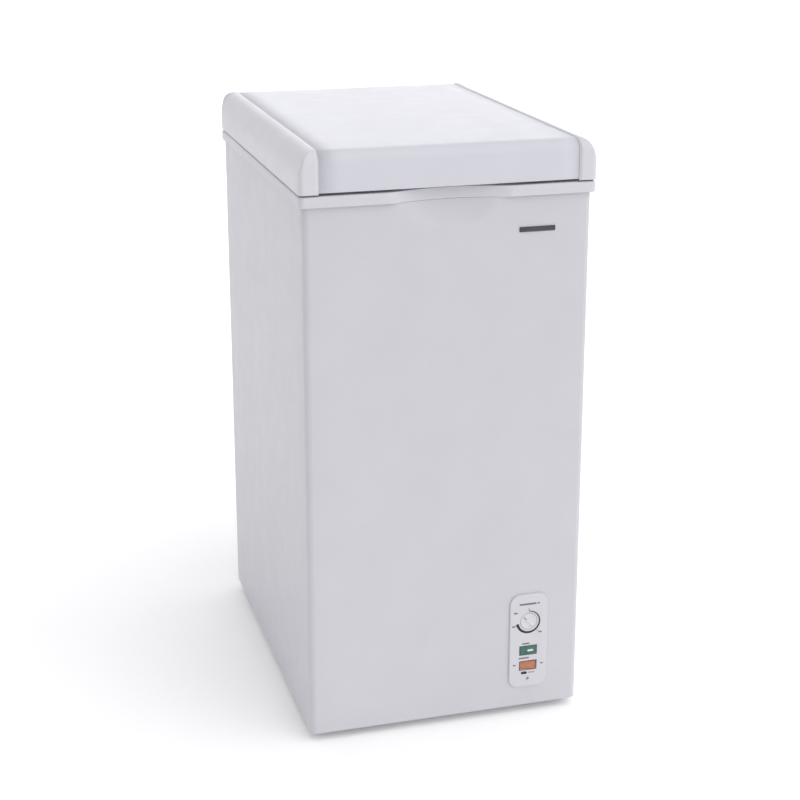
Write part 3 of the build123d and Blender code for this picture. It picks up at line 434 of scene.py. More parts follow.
def screwTree():
    # cross-head screws at points, each turned at random about +Y
    tree, given = startTree("screws", (("Radius", "Float"), ("Height", "Float"), ("Seed", "Int"),
                                       ("Material", "Material")))
    head = addNode(tree, "GeometryNodeMeshUVSphere", {"Segments": screws["segments"], "Rings": screws["rings"],
                                                      "Radius": given["Radius"]})
    flat = combine(tree, "DIVIDE", given["Height"], given["Radius"])
    size = addNode(tree, "ShaderNodeCombineXYZ", {"X": 1.0, "Y": 1.0, "Z": flat})
    dome = addNode(tree, "GeometryNodeTransform", {"Geometry": head.outputs[0], "Scale": size.outputs[0]})
    wide = combine(tree, "MULTIPLY", given["Radius"], screws["crossLength"])
    thin = combine(tree, "MULTIPLY", given["Radius"], screws["crossWidth"])
    lift = addNode(tree, "ShaderNodeCombineXYZ", {"Z": given["Height"]}).outputs[0]
    cut = dome.outputs[0]
    for x, y in ((wide, thin), (thin, wide)):
        bar = addNode(tree, "ShaderNodeCombineXYZ", {"X": x, "Y": y, "Z": given["Height"]}).outputs[0]
        cube = addNode(tree, "GeometryNodeMeshCube", {"Size": bar}).outputs[0]
        moved = addNode(tree, "GeometryNodeTransform", {"Geometry": cube, "Translation": lift}).outputs[0]
        trim = addNode(tree, "GeometryNodeMeshBoolean", operation="DIFFERENCE")
        tree.links.new(cut, trim.inputs["Mesh 1"])
        tree.links.new(moved, trim.inputs["Mesh 2"])
        cut = trim.outputs[0]
    spin = addNode(tree, "FunctionNodeRandomValue", {"Seed": given["Seed"]}, data_type="FLOAT")
    spin.inputs[3].default_value = math.pi
    turn = addNode(tree, "ShaderNodeCombineXYZ", {"X": -math.pi / 2, "Y": spin.outputs[1]}).outputs[0]
    copies = addNode(tree, "GeometryNodeInstanceOnPoints", {"Points": given["Geometry"], "Instance": cut,
                                                            "Rotation": turn})
    return endTree(tree, copies.outputs[0], given["Material"])


trees = {"row": rowTree(), "wires": wireTree(), "screws": screwTree()}
print("node trees made")

# finger dish pressed into the rim and the front
rimBox = outline("rim_collar")
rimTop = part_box("rim_collar")[1].z
dish = dict(side=0.229, down=0.128, depth=0.016, soft=0.0022, reach=0.11, rearY=-0.22, pitch=2.4, columns=41)
dishXs = [i * dish["pitch"] * mm for i in range(-dish["columns"], dish["columns"] + 1)]


def dishY(x, z, extra):
    rise = dish["down"] ** 2 - (z - rimTop) ** 2
    if rise <= 0:
        return -1.0
    reach = dish["side"] - dish["down"] + math.sqrt(rise) + extra
    return rimBox[1] + dish["depth"] - dish["side"] + math.sqrt(max(reach ** 2 - x ** 2, 0))


def pressed(point, extra=0.0):
    # the point pushed back to the dish's face where it lies in front of it
    x, y, z = point
    if y > dish["rearY"] or abs(x) > dish["reach"]:
        return point
    deep = dishY(x, z, extra)
    near = max(dish["soft"] - abs(y - deep), 0)
    return x, max(y, deep) + near * near / dish["soft"] / 4, z


# skirt and ledge are heights; rows are (inset, drop, corner radius) in mm, single ones have no drop
rim = dict(skirt=771 * mm, ledge=760 * mm, drop=12 * mm, fillet=3.5 * mm, wall=2.5 * mm, hem=0.6 * mm,
           topRows=((16, 0, 12), (30, 0, 19), (47.8, 0, 29), (48.6, 0.3, 30), (49, 1.2, 30)),
           ledgeRows=((49, -1, 30), (50, 0, 29), (58, 0, 21), (59, 1, 20)), lip=(59, 20), inner=(57.2, 21.8),
           back=(46.6, 32), under=(14, 12), corner=8, hemCorner=7, skirtCorner=6)
cabinet = dict(corner=10 * mm, hem=16 * mm, sheet=0.9 * mm, bend=2.0 * mm, seam=0.4 * mm, lap=0.2 * mm,
               besideDish=(0.13, 0.16), dishFoot=0.724,
               levels=(0.06, 0.12, 0.24, 0.36, 0.48, 0.60, 0.70, 0.722))


def wrapLine(inset, z, extra=0.0):
    # the wrapped sheet seen from above: left rear, round the front, right rear
    x0, y0, x1, y1 = sunk(outline("outer_shell"), inset)
    r = max(cabinet["corner"] - inset, 1 * mm)
    rear = y1 + inset
    near, far = cabinet["besideDish"]
    line = [(x0, rear - (rear - y0 - r) * i / 14, z) for i in range(14)]
    line += [(x0 + r + r * math.cos(t), y0 + r + r * math.sin(t), z) for t in arc(180, 270, 8)]
    line += [pressed((x, y0, z), extra) for x in [-far, -near] + dishXs + [near, far]]
    line += [(x1 - r + r * math.cos(t), y0 + r + r * math.sin(t), z) for t in arc(270, 360, 8)]
    return line + [(x1, y0 + r + (rear - y0 - r) * i / 14, z) for i in range(1, 15)]


def cabinetWrap():
    # whole behind the control panel, which covers the window there
    low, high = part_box("outer_shell")
    bottom, bend, foot = low.z, cabinet["bend"], cabinet["dishFoot"]
    rings = [wrapLine(cabinet["hem"], bottom), wrapLine(bend, bottom)]
    rings += [wrapLine(bend * (1 - math.sin(t)), bottom + bend * (1 - math.cos(t))) for t in arc(18, 90, 4)]
    seam = rim["skirt"] - cabinet["seam"]
    rings += [wrapLine(0, z) for z in cabinet["levels"]]
    rings += [wrapLine(0, foot + (seam - foot) * i / 24) for i in range(25)]
    rings += [wrapLine(0, z, rim["wall"]) for z in (seam + cabinet["lap"], high.z)]
    obj = loft("cabinetWrap", rings, closed=False, outward=False, angle=40)
    thicken(obj, cabinet["sheet"])
    place(obj, "cabinet", "white_steel", ["outer_shell"])


cabinetWrap()


def rimMoulding():
    # closed section carried all round: skirt, top, throat, ledge, lip, and back underneath
    top, bottom, fillet, wall = rimTop, rim["skirt"], rim["fillet"], rim["wall"]
    ledge, lipEnd, hem, corner = rim["ledge"], rim["ledge"] - rim["drop"], rim["hem"], rim["corner"]
    side = bottom + hem
    section = [(hem, bottom, corner, 0), (0, side, corner, 0)]
    section += [(0, side + (top - fillet - side) * i / 5, corner, 0) for i in range(1, 6)]
    section += [(fillet * (1 - math.cos(t)), top - fillet * (1 - math.sin(t)), corner, 0)
                for t in arc(15, 90, 5)]
    for level, rows in ((top, rim["topRows"]), (ledge, rim["ledgeRows"])):
        section += [(inset * mm, level - drop * mm, radius, 0) for inset, drop, radius in rows]
    for row, z, extra in (("lip", lipEnd, 0), ("inner", lipEnd, 0), ("inner", ledge - wall, 0),
                          ("back", ledge - wall, 0), ("back", top - wall, 0), ("under", top - wall, wall)):
        section.append((rim[row][0] * mm, z, rim[row][1], extra))
    section += [(wall, z, rim["skirtCorner"], wall) for z in (top - wall, top - 6 * mm, side)]
    section.append((wall - hem, bottom, rim["hemCorner"], wall))
    rings = [[pressed(p, extra) for p in cornerLoop(sunk(rimBox, inset), radius * mm, z, 9, dishXs)]
             for inset, z, radius, extra in section]
    place(loft("rimMoulding", rings, around=True, angle=40), "cabinet", "rim_plastic", ["rim_collar"])


rimMoulding()
print("cabinet and rim made")

lid = dict(capWidth=25 * mm, shoulder=808 * mm, capBottom=788 * mm, skirtBottom=789.5 * mm, frontRoll=20 * mm,
           rearRoll=10 * mm, corner=7 * mm, wall=2.2 * mm, sink=1.2 * mm, bead=1.1 * mm, tip=0.02 * mm,
           upright=10 * mm, lowShares=(0, 0.04, 0.3, 0.65))
lidBox = outline("right_end_cap")
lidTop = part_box("right_end_cap")[1].z
capInner = lidBox[0]


def capRing(angle, low=None):
    # half loop of the right cap, from the sheet's edge at the front round the side to the rear;
    # low is the share of the height for the rings below the shoulder
    rise, back = math.sin(angle), 1 - math.cos(angle)
    right = lidBox[2] - lid["capWidth"] * back
    front, rear = lidBox[1] + lid["frontRoll"] * back, lidBox[3] - lid["rearRoll"] * back
    sideZ = lid["shoulder"] + (lidTop - lid["shoulder"]) * rise
    frontZ = lidTop - lid["frontRoll"] * (1 - rise)
    rearZ = lidTop - lid["rearRoll"] * (1 - rise)
    if low is not None:
        sideZ, frontZ, rearZ = (lid["capBottom"] + (z - lid["capBottom"]) * low for z in (sideZ, frontZ, rearZ))
    r = min(lid["corner"] * math.cos(angle) + lid["tip"], right - capInner + lid["tip"] / 2)

    def corner(y, first, last, z0, z1):
        # a rounded corner whose height eases from z0 to z1
        points = []
        for step, turn in enumerate(arc(first, last, 12)):
            share = (step / 12) ** 2 * (3 - 2 * step / 12)
            points.append((right - r + r * math.cos(turn), y + r * math.sin(turn), z0 + (z1 - z0) * share))
        return points

    ring = [(capInner + (right - r - capInner) * i / 4, front, frontZ) for i in range(4)]
    ring += corner(front + r, -90, 0, frontZ, sideZ)
    ring += [(right, front + r + (rear - front - 2 * r) * i / 20, sideZ) for i in range(1, 20)]
    ring += corner(rear - r, 0, 90, sideZ, rearZ)
    return ring + [(right - r - (right - r - capInner) * i / 4, rear, rearZ) for i in range(1, 5)]


def seamLine(inset):
    # where a cap meets the sheet: up the front, over the top and down the rear
    front, rear, top = lidBox[1] + inset, lidBox[3] - inset, lidTop - inset
    fr, rr, bottom = lid["frontRoll"] - inset, lid["rearRoll"] - inset, lid["capBottom"]
    line = [(front, bottom), (front, bottom + lid["upright"])]
    line += [(front + fr * (1 - math.cos(t)), top - fr * (1 - math.sin(t))) for t in arc(0, 90, 12)]
    line += [(front + fr + (rear - rr - front - fr) * i / 12, top) for i in range(1, 12)]
    line += [(rear - rr * (1 - math.sin(t)), top - rr * (1 - math.cos(t))) for t in arc(0, 90, 8)]
    return line + [(rear, bottom + lid["upright"]), (rear, bottom)]


def endCap(side, name, node):
    rings = [capRing(0, share) for share in lid["lowShares"]] + [capRing(angle) for angle in arc(0, 90, 14)]
    if side < 0:
        rings = [[(-x, y, z) for x, y, z in reversed(ring)] for ring in rings]
    shell = loft("capShell", rings, closed=False, outward=False, angle=60)
    thicken(shell, lid["wall"], even=True)
    bead = tubeCurve("bead", [(side * capInner, y, z) for y, z in seamLine(lid["bead"])], lid["bead"], sides=4)
    place(join(name, [shell, bead]), "lid", "cap_plastic", [node])


endCap(1, "endCap_right", "right_end_cap")
endCap(-1, "endCap_left", "left_end_cap")
sheet = dict(hem=1.3 * mm, fold=6 * mm, skip=2 * mm, gap=0.1 * mm, thick=0.7 * mm)


def lidSheet():
    # thin painted sheet between the caps with a rolled hem at its front edge
    hem, bottom = sheet["hem"], lid["skirtBottom"]
    line = [(y, z) for y, z in seamLine(lid["sink"]) if z > bottom + sheet["skip"]]
    front, rear = line[0][0], line[-1][0]
    for turn in arc(0, 180, 6):
        line.insert(0, (front + hem * (1 - math.cos(turn)), bottom + hem - hem * math.sin(turn)))
    line.insert(0, (front + 2 * hem, bottom + sheet["fold"]))
    line.append((rear, bottom))
    half = capInner - sheet["gap"]
    rings = [[(-half + 2 * half * i / 12, y, z) for i in range(13)] for y, z in line]
    obj = loft("lidSheet", rings, closed=False, outward=False, angle=50)
    thicken(obj, sheet["thick"])
    place(obj, "lid", "lid_steel", ["lid_panel"])


lidSheet()
# inset in mm, share of the gasket's height
gasket = dict(corner=30, narrowing=0.9, section=(
    (0, 0), (0.4, 0.10), (1.8, 0.20), (2.6, 0.32), (1.6, 0.44), (0.2, 0.52), (0, 0.66), (0.3, 0.90), (1.2, 1.0),
    (16.8, 1.0), (17.7, 0.90), (18, 0.66), (17.8, 0.52), (16.4, 0.44), (15.4, 0.32), (16.2, 0.20), (17.6, 0.10),
    (18, 0)))


def lidGasket():
    # folded bellows with a magnet pad, the same section all round
    low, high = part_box("lid_gasket")
    rings = [cornerLoop(sunk(outline("lid_gasket"), x * mm), (gasket["corner"] - x * gasket["narrowing"]) * mm,
                        high.z - (high.z - low.z) * share, steps=10) for x, share in gasket["section"]]
    place(loft("lidGasket", rings, around=True, angle=50), "lid", "gasket", ["lid_gasket"])


lidGasket()
# rows are (inset, drop or rise, corner radius) in mm
innerPanel = dict(gap=0.2 * mm, corner=5 * mm, plate=2 * mm, tray=(-0.150, -0.220, 0.150, 0.205), roll=8,
                  trayCorner=24,
                  shoulder=((-6, 2, 30), (-3, 2.4, 27), (-0.8, 4.5, 25), (0, 8, 24)),
                  frame=((20, 0, 16), (22, 0.2, 15), (24, 1.0, 14), (26, 1.3, 13)))


def lidInner():
    # plate, raised tray with a shallow pressed frame in its face
    low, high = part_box("lid_inner_panel")
    plate, roll = sunk(outline("lid_inner_panel"), innerPanel["gap"]), innerPanel["roll"]
    rings = [cornerLoop(plate, innerPanel["corner"], z, steps=10)
             for z in (high.z, high.z - innerPanel["plate"])]
    steps = [(inset, high.z - drop * mm, radius) for inset, drop, radius in innerPanel["shoulder"]]
    for turn in arc(0, 90, 6):
        inset = roll * (1 - math.cos(turn))
        steps.append((inset, low.z + roll * mm * (1 - math.sin(turn)), innerPanel["trayCorner"] - inset))
    steps += [(inset, low.z + rise * mm, radius) for inset, rise, radius in innerPanel["frame"]]
    rings += [cornerLoop(sunk(innerPanel["tray"], inset * mm), radius * mm, z, steps=10)
              for inset, z, radius in steps]
    obj = loft("lidInner", rings, ends=(True, True), angle=40)
    place(obj, "lid", "lid_inner_plastic", ["lid_inner_panel"])


lidInner()
print("lid made")

tub = dict(corner=22 * mm, foot=14 * mm, sheet=1.0 * mm)


def tubLiner():
    low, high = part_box("inner_liner")
    outer, thick = outline("inner_liner"), tub["sheet"]

    def bowl(box, bottom, corner, foot):
        rings = [cornerLoop(box, corner, high.z - (high.z - bottom - foot) * i / 6, steps=10) for i in range(7)]
        for turn in arc(15, 90, 5):
            inset = foot * (1 - math.cos(turn))
            z = bottom + foot * (1 - math.sin(turn))
            rings.append(cornerLoop(sunk(box, inset), corner - inset, z, steps=10))
        return rings

    inside = bowl(sunk(outer, thick), low.z + thick, tub["corner"], tub["foot"])
    outside = bowl(outer, low.z, tub["corner"] + thick, tub["foot"] + thick)
    obj = loft("tubLiner", list(reversed(outside)) + inside, ends=(True, True), angle=40)
    place(obj, "cabinet", "liner_white", ["inner_liner"])


tubLiner()
# bent wires welded to the rails
basket = dict(crossCount=9, longCount=11, bend=6 * mm, wire=1.5 * mm, margin=26 * mm, above=1.5 * mm,
              gap=0.05 * mm, bandShares=(0.36, 0.70), bandCorner=15 * mm)


def bentWire(name, a, b, top, floor, along):
    # a U from the rail down, across the floor and up again
    r = basket["bend"]
    flat = [(a, top), (a, floor + r)]
    flat += [(a + r * (1 - math.cos(t)), floor + r * (1 - math.sin(t))) for t in arc(18, 90, 4)]
    flat += [(b - r * (1 - math.cos(t)), floor + r * (1 - math.sin(t))) for t in arc(90, 0, 5)]
    flat.append((b, top))
    return curveObject(name, [(u, 0, z) if along == "x" else (0, u, z) for u, z in flat])


def wireRow(name, ends, top, floor, along, start, stop, count, stands):
    # equal wires from start to stop across the basket
    way = Vector((0, 1, 0) if along == "x" else (1, 0, 0))
    made = runTree(bentWire(name, *ends, top, floor, along), trees["wires"], {
        "Count": count, "Step": tuple(way * ((stop - start) / (count - 1))), "Radius": basket["wire"],
        "Material": materials["coated_wire"]})
    for vertex in made.data.vertices:
        vertex.co += way * start
    place(finishMesh(made, angle=50), "basket", "coated_wire", stands)


def basketWires():
    topLow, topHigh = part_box("basket_top_rail")
    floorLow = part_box("basket_floor_wires")[0]
    rail, wire, gap, margin = (topHigh.z - topLow.z) / 2, basket["wire"], basket["gap"], basket["margin"]
    railZ, floorZ = topLow.z + rail, floorLow.z + wire
    inside = 2 * rail + wire + gap
    x0, y0, x1, y1 = sunk(outline("basket_top_rail"), inside)
    top = railZ + basket["above"]
    wireRow("basketCrossWires", (x0, x1), top, floorZ, "x", y0 + margin, y1 - margin, basket["crossCount"],
            ["basket_floor_wires", "basket_left_wires", "basket_right_wires"])
    wireRow("basketLongWires", (y0, y1), top, floorZ + 2 * wire + gap, "y", x0 + margin, x1 - margin,
            basket["longCount"], ["basket_front_wires", "basket_rear_wires"])
    # two bands half way up, inside the upright wires
    bands = []
    for share in basket["bandShares"]:
        loop = cornerLoop(sunk(outline("basket_top_rail"), inside + 2 * wire + gap), basket["bandCorner"],
                          floorZ + (railZ - floorZ) * share)
        bands.append(tubeCurve("band", loop, wire, closed=True))
    place(join("basketBands", bands), "basket", "coated_wire")
    for node in ("basket_top_rail", "basket_lower_rail", "basket_handles"):
        soften(node, bevel=0)


basketWires()
print("tub and basket made")

panelLow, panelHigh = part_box("control_panel")
faceY = panelLow.y
panelX = (panelLow.x + panelHigh.x) / 2
knobLow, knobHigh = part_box("temperature_knob")
knobZ, knobRadius = (knobLow.z + knobHigh.z) / 2, (knobHigh.x - knobLow.x) / 2
lampLow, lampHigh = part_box("power_lamp")
rockerLow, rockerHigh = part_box("quick_freeze_rocker")
lampZ, rockerZ = (lampLow.z + lampHigh.z) / 2, (rockerLow.z + rockerHigh.z) / 2
# frame and frameGap size the black band of painted shade round the lamp and switch windows
panel = dict(layer=0.12 * mm, under=0.05 * mm, ringIn=15.4 * mm, ringThin=1.1 * mm, ringThick=4.0 * mm,
             ringTurn=262, ringSteps=72, frame=0.9 * mm, frameGap=0.1 * mm, cut=0.3)
layerFront, layerBack = faceY - panel["layer"], faceY + panel["under"]


def printAndShade(obj, layer):
    # a thin layer on the fascia: print, and also the painted shade round the windows
    place(obj, "cabinet", "panel_plastic", material=layer)


def bar(x, z, width, height):
    # outline of a bar with cut corners, in mm from the panel's middle line and the floor
    cut, half, tall = min(width, height) * panel["cut"], width / 2, height / 2
    corners = ((cut - half, -tall), (half - cut, -tall), (half, cut - tall), (half, tall - cut),
               (half - cut, tall), (cut - half, tall), (-half, tall - cut), (-half, cut - tall))
    return [((x + dx) * mm, (z + dz) * mm) for dx, dz in corners]


def dialCrescent():
    # ring round the knob that widens as it turns
    rings = []
    for step in range(panel["ringSteps"] + 1):
        share = step / panel["ringSteps"]
        turn = math.radians(90 - panel["ringTurn"] * share)
        reach = panel["ringIn"] + panel["ringThin"] + (panel["ringThick"] - panel["ringThin"]) * share
        x0, z0, x1, z1 = (r * way for r in (reach, panel["ringIn"]) for way in (math.cos(turn), math.sin(turn)))
        rings.append([(panelX + x, y, knobZ + z) for x, y, z in
                      ((x0, layerFront, z0), (x1, layerFront, z1), (x1, layerBack, z1), (x0, layerBack, z0))])
    printAndShade(loft("dialCrescent", rings, ends=(True, True), angle=30), "black_print_and_shade")


dialCrescent()
marks = {
    "titleMark": (bar(-1.6, 174.0, 26, 2.6), "ink_grey"),
    "titleMarkSmall": (bar(14.6, 174.0, 3.4, 2.2), "ink_grey"),
    "dialTick": (bar(0, knobZ / mm + 18.6, 0.9, 3.2), "black_print_and_shade"),
    "offMark": (bar(-20.0, 161.4, 6.0, 2.4), "ink_grey"),
    "lowMark": (bar(-23.2, 140.6, 4.2, 2.2), "ink_grey"),
    "lowTick": (bar(-19.6, 141.2, 2.4, 0.9), "black_print_and_shade"),
    "highMark": (bar(17.6, 128.2, 5.2, 2.2), "ink_grey"),
    "highTick": (bar(13.2, 131.2, 2.0, 0.9), "black_print_and_shade"),
    "lampMark": (bar(-3.8, lampZ / mm + 10.8, 11.0, 2.2), "ink_grey"),
    "switchMark": (bar(-6.4, rockerZ / mm + 12.0, 16.0, 2.2), "ink_grey"),
    "switchLeft": (bar(-20.8, rockerZ / mm + 2.0, 4.4, 2.0), "ink_grey"),
    "switchRight": (bar(21.2, rockerZ / mm + 0.8, 4.4, 2.0), "ink_grey"),
    "noteBlock": (bar(-5.8, rockerZ / mm - 11.6, 9.0, 4.2), "black_print_and_shade"),
    "noteBar": (bar(5.7, rockerZ / mm - 11.8, 10.0, 2.4), "ink_rose"),
}
for name, (points, layer) in marks.items():
    printAndShade(slab(name, [(panelX + x, layerFront, z) for x, z in points], layerBack - layerFront), layer)


def windowShadeFrame(name, low, high):
    # black line round a window of the fascia, painted shade that stands for the dark gap round the lens and the
    # rocker
    rings, gap, wide = [], panel["frameGap"], panel["frameGap"] + panel["frame"]
    for grow, y in ((gap, layerFront), (wide, layerFront), (wide, layerBack), (gap, layerBack)):
        x0, x1, z0, z1 = low.x - grow, high.x + grow, low.z - grow, high.z + grow
        rings.append([(x0, y, z0), (x1, y, z0), (x1, y, z1), (x0, y, z1)])
    printAndShade(loft(name, rings, around=True, angle=30), "black_print_and_shade")


# painted shade round the lamp window and the rocker window
windowShadeFrame("lampShadeFrame", lampLow, lampHigh)
switchMiddle, switchHalf = Vector((panelX, 0, rockerZ)), (lampHigh - lampLow) / 2
windowShadeFrame("switchShadeFrame", switchMiddle - switchHalf, switchMiddle + switchHalf)
flake = dict(arms=6, x=-0.2, z=56.0, inner=0.4, outer=3.0, half=0.3)


def flakeMark():
    # six-armed frost sign under the switch
    centre, half = Vector((flake["x"], flake["z"])), flake["half"]
    arms = []
    for arm in range(flake["arms"]):
        turn = math.radians(60 * arm + 30)
        spot = Vector((math.cos(turn), math.sin(turn)))
        side = Vector((-spot.y, spot.x))
        points = [(centre + spot * r + side * s) * mm for r, s in (
            (flake["inner"], -half), (flake["outer"], -half), (flake["outer"], half), (flake["inner"], half))]
        arms.append(slab("arm", [(panelX + p.x, layerFront, p.y) for p in points], layerBack - layerFront))
    printAndShade(join("flakeMark", arms), "black_print_and_shade")


flakeMark()
# profile is (share of the radius, mm behind the front face); rows are (inset, share of the bar's height)
knob = dict(turn=135, around=144, flutes=36, flute=0.018, front=0.1 * mm,
            profile=((1.0, 1.2), (0.985, 0.5), (0.93, 0), (0.84, 0), (0.81, 0.25), (0.30, 0.25), (0.02, 0.25)),
            barEnd=1.6 * mm, barHalf=2.3 * mm, barFoot=0.2 * mm, barAround=32, endInset=2 * mm,
            sideInset=2.4 * mm, rows=((0, -0.4), (0, 0.45), (0.12, 0.8), (0.35, 1.0)), lineGap=0.02 * mm,
            lineDepth=0.3 * mm, line=((5.0, -0.45), (10.4, -0.45), (10.4, 0.45), (5.0, 0.45)))


def knobPoint(u, y, v):
    # a point in the finger bar's own directions, turned to the off position
    a = math.radians(knob["turn"])
    return (panelX + u * math.cos(a) - v * math.sin(a), y, knobZ + u * math.sin(a) + v * math.cos(a))


def squared(value):
    return math.copysign(abs(value) ** 0.5, value)


def dialKnob():
    # turned knob with a fluted edge and a finger bar
    front, back = faceY - knob["front"], knobHigh.y
    profile = [(0.0, back), (1.0, back)] + [(share, front + depth * mm) for share, depth in knob["profile"]]
    rings = []
    for share, y in profile:
        ring = []
        for i in range(knob["around"]):
            turn = 2 * math.pi * i / knob["around"]
            flute = knob["flute"] * (0.5 + 0.5 * math.cos(knob["flutes"] * turn)) if share == 1.0 else 0
            r = knobRadius * share * (1 - flute)
            ring.append((panelX + r * math.cos(turn), y, knobZ + r * math.sin(turn)))
        rings.append(ring)
    disc = loft("disc", rings, ends=(True, True), angle=38)
    half, wide, stand = knobRadius - knob["barEnd"], knob["barHalf"], faceY - knobLow.y + knob["barFoot"]
    bars = []
    for inset, rise in knob["rows"]:
        y = faceY + knob["barFoot"] - stand * rise
        bars.append([knobPoint(squared(math.cos(t)) * (half - inset * knob["endInset"]), y,
                               squared(math.sin(t)) * (wide - inset * knob["sideInset"]))
                     for t in [2 * math.pi * i / knob["barAround"] for i in range(knob["barAround"])]])
    grip = loft("grip", bars, ends=(True, True), angle=38)
    place(join("dialKnob", [disc, grip]), "knob", "knob_plastic", ["temperature_knob"])
    line = [knobPoint(r * mm, knobLow.y - knob["lineGap"], s * mm) for r, s in knob["line"]]
    place(slab("knobPointer", line, knob["lineDepth"]), "knob", "knob_plastic", material="black_print_and_shade")


dialKnob()
# pale bar on the lamp's face
lensLine = [(panelX + x, lampLow.y - panel["under"], z) for x, z in bar(3.0, lampZ / mm, 9.0, 3.0)]
printAndShade(slab("lensMark", lensLine, 0.4 * mm), "pale_white")
for node, width in (("control_panel", 0.5), ("power_lamp", 0.6), ("quick_freeze_rocker", 0.5),
                    ("badge", 0.4)):
    soften(node, bevel=width, segments=3)
print("controls made")

louvres = dict(columns=((-0.150, -0.055), (-0.040, 0.055), (0.070, 0.150)), count=10, pitch=14 * mm,
               out=2.6 * mm, top=0.0915, drop=8.5 * mm, foot=1.5 * mm, crown=1 * mm, thick=0.6 * mm)


def louvreHoods():
    # pressed hoods over the cover's slots, one column at a time
    face, foot, crown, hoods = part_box("rear_cover")[1].y, louvres["foot"], louvres["crown"], []
    for x0, x1 in louvres["columns"]:
        rings = []
        for turn in arc(0, 90, 6):
            y = face + louvres["out"] * math.sin(turn)
            z = louvres["top"] - louvres["drop"] * (1 - math.cos(turn))
            rings.append([(x0 - foot, face, z), (x0 + crown, y, z), (x1 - crown, y, z), (x1 + foot, face, z)])
        hood = loft("hoods_%d" % len(hoods), rings, closed=False, outward=False, angle=50)
        thicken(hood, louvres["thick"], offset=0)
        hoods.append(runTree(hood, trees["row"], {"Count": louvres["count"], "Step": (0, 0, louvres["pitch"]),
                                                  "Material": materials["galvanised"]}))
    place(finishMesh(join("louvreHoods", hoods), angle=45), "cabinet", "galvanised")


louvreHoods()


def screwHeads(name, spots, body, stands):
    mesh = bpy.data.meshes.new(name)
    mesh.from_pydata(spots, [], [])
    made = runTree(addObject(name, mesh), trees["screws"], {
        "Radius": screws["radius"], "Height": screws["height"], "Seed": screws["seed"],
        "Material": materials["zinc_steel"]})
    place(finishMesh(made, angle=40), body, "zinc_steel", stands)


# where the screws sit: the cover's two columns, and the plates of the hinges
fixings = dict(coverX=0.1775, coverZ=(0.044, 0.141, 0.240), hingeX=0.120, beside=0.014, bracketZ=(0.712, 0.736),
               leafZ=(0.816,), plate=2.5 * mm)
hingeXs = [side * fixings["hingeX"] + dx for side in (-1, 1) for dx in (-fixings["beside"], fixings["beside"])]
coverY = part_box("rear_cover")[1].y
bracketY, leafY = (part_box(node)[0].y + fixings["plate"] for node in ("left_hinge_bracket", "left_hinge_leaf"))
cabinetSpots = [(x, coverY, z) for x in (-fixings["coverX"], fixings["coverX"]) for z in fixings["coverZ"]]
cabinetSpots += [(x, bracketY, z) for x in hingeXs for z in fixings["bracketZ"]]
screwHeads("rearScrewHeads", cabinetSpots, "cabinet", ["rear_screws"])
screwHeads("leafScrewHeads", [(x, leafY, z) for x in hingeXs for z in fixings["leafZ"]], "lid", ["leaf_screws"])
for node in ("left_hinge_bracket", "right_hinge_bracket", "left_hinge_leaf", "right_hinge_leaf", "hinge_pins",
             "cord_gland", "drain_cap", "terminal_cover", "compressor_mount_plate", "rear_cover"):
    soften(node, bevel=0.4)
for node in ("drain_plug", "drain_pipe", "filter_drier", "suction_pipe", "discharge_pipe", "compressor",
             "capillary_tube", "wiring_harness"):
    soften(node, bevel=0)

# profile is (share of the radius, height in mm)
foot = dict(around=120, ribs=20, rib=0.035, ribSpan=(1.0, 6), profile=(
    (0.80, 0.0), (0.94, 0.0), (0.985, 0.6), (1.0, 1.6), (1.0, 5.4), (0.97, 6.5), (0.90, 7.0), (0.78, 7.0),
    (0.76, 7.4), (0.56, 13.0), (0.30, 13.0)))


def levellingFoot(node):
    # ribbed pad, neck and a flat under-face
    low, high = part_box(node)
    middle, radius = (low + high) / 2, (high.x - low.x) / 2
    rings = []
    for share, z in foot["profile"]:
        ring = []
        for i in range(foot["around"]):
            turn = 2 * math.pi * i / foot["around"]
            ribbed = foot["ribSpan"][0] < z < foot["ribSpan"][1]
            rib = foot["rib"] * max(math.cos(foot["ribs"] * turn), 0) if ribbed else 0
            r = radius * share * (1 - rib)
            ring.append((middle.x + r * math.cos(turn), middle.y + r * math.sin(turn), z * mm))
        rings.append(ring)
    place(loft("foot_" + node, rings, ends=(True, True), angle=38), "cabinet", "black_plastic", [node])


for node in ("front_left_foot", "front_right_foot", "rear_left_foot", "rear_right_foot"):
    levellingFoot(node)
print("rear and underside made")

# floor, light and camera
stageSet = dict(half=7.0, columns=24, bendY=1.6, bendDepth=1.2, wallY=2.8, wallTop=4.5, glow=0.14,
                paper=(0.95, 0.95, 0.96), mottle=0.985, skyLeft=0.40, skyRight=0.80)


def studioFloor():
    half, count, bend, reach = stageSet["half"], stageSet["columns"], stageSet["bendY"], stageSet["bendDepth"]
    profile = [(-half, 0), (bend, 0)]
    profile += [(bend + reach * math.sin(t), reach * (1 - math.cos(t))) for t in arc(9, 90, 9)]
    profile.append((stageSet["wallY"], stageSet["wallTop"]))
    rings = [[(-half + 2 * half * i / count, y, z) for i in range(count + 1)] for y, z in profile]
    obj = loft("studioFloor", rings, closed=False, outward=False, angle=60)
    paper = makeFinish("paper", colour=stageSet["paper"], rough=(0.75, 0.9), grain=(300, 0.00005), tintScale=3,
                       tint=tuple(c * stageSet["mottle"] for c in stageSet["paper"]))
    shader = paper.node_tree.nodes["Principled BSDF"]
    shader.inputs["Emission Color"].default_value = (1, 1, 1, 1)
    shader.inputs["Emission Strength"].default_value = stageSet["glow"]
    obj.data.materials.append(paper)


studioFloor()


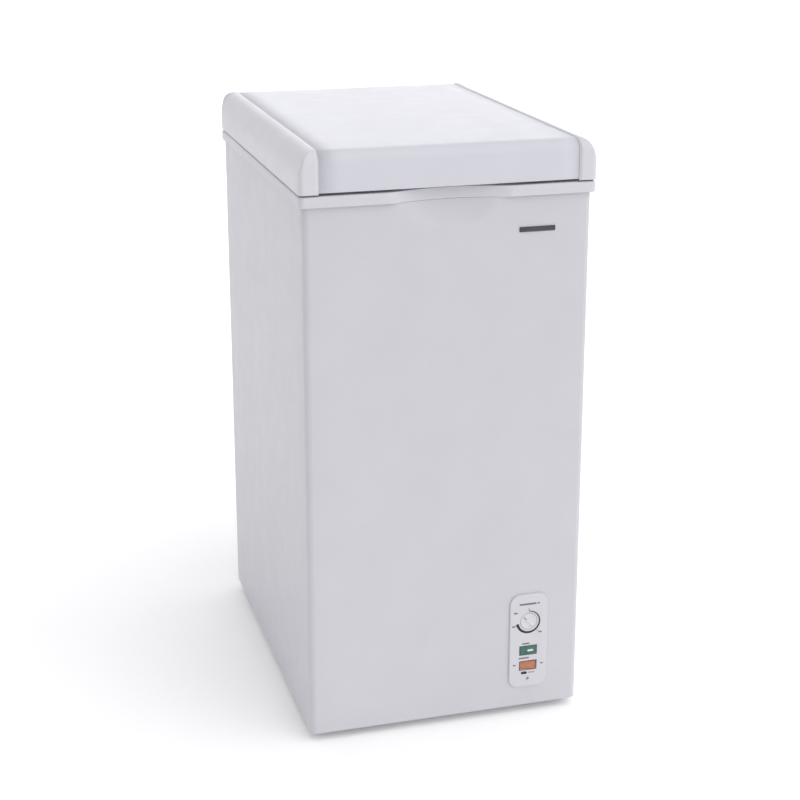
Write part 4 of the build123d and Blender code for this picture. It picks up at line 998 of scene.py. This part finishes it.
def addLamp(name, kind, power, ray, spot=(0, 0, 0)):
    light = bpy.data.lights.new(name, kind)
    light.energy = power
    obj = addObject(name, light)
    obj.location = spot
    obj.rotation_euler = Vector(ray).to_track_quat("-Z", "Y").to_euler()
    return light


def softBox(name, spot, aim, size, power):
    light = addLamp(name, "AREA", power, Vector(aim) - Vector(spot), spot)
    light.shape, light.size, light.size_y = "RECTANGLE", *size


skylight = dict(power=1.15, ray=(-0.12, 0.16, -0.33), spread=70)
addLamp("skylight", "SUN", skylight["power"], skylight["ray"]).angle = math.radians(skylight["spread"])
softBox("frontRight", spot=(1.9, -2.6, 1.4), aim=(0, 0, 0.45), size=(1.4, 2.0), power=4)
softBox("rearFill", spot=(0.6, 2.4, 1.6), aim=(0, 0, 0.5), size=(1.6, 1.6), power=5)
bpy.context.scene.view_settings.view_transform = "Standard"


def studioWorld():
    # an even white sky, dimmer on the left
    world = bpy.data.worlds.new("studioWorld")
    world.use_nodes = True
    sky = world.node_tree
    toward = addNode(sky, "ShaderNodeTexCoord").outputs["Generated"]
    across = addNode(sky, "ShaderNodeSeparateXYZ", {"Vector": toward}).outputs["X"]
    background = sky.nodes["Background"]
    background.inputs["Color"].default_value = (1, 1, 1, 1)
    sky.links.new(remap(sky, across, (-1, 1), (stageSet["skyLeft"], stageSet["skyRight"])),
                  background.inputs["Strength"])
    bpy.context.scene.world = world


studioWorld()
cameraSet = dict(azimuth=-16.05, elevation=16.61, distance=2.508, aim=(0.0, -0.0392, 0.5094), lens=75.66,
                 sensor=36, shift=-0.075)


def studioCamera():
    data = bpy.data.cameras.new("camera")
    data.lens, data.sensor_width, data.shift_y = cameraSet["lens"], cameraSet["sensor"], cameraSet["shift"]
    obj = addObject("camera", data)
    a, e = math.radians(cameraSet["azimuth"]), math.radians(cameraSet["elevation"])
    back = Vector((math.sin(a) * math.cos(e), -math.cos(a) * math.cos(e), math.sin(e)))
    obj.location = Vector(cameraSet["aim"]) + back * cameraSet["distance"]
    obj.rotation_mode = "QUATERNION"
    obj.rotation_quaternion = (-back).to_track_quat("-Z", "Y")
    bpy.context.scene.camera = obj


studioCamera()
print("stage made")
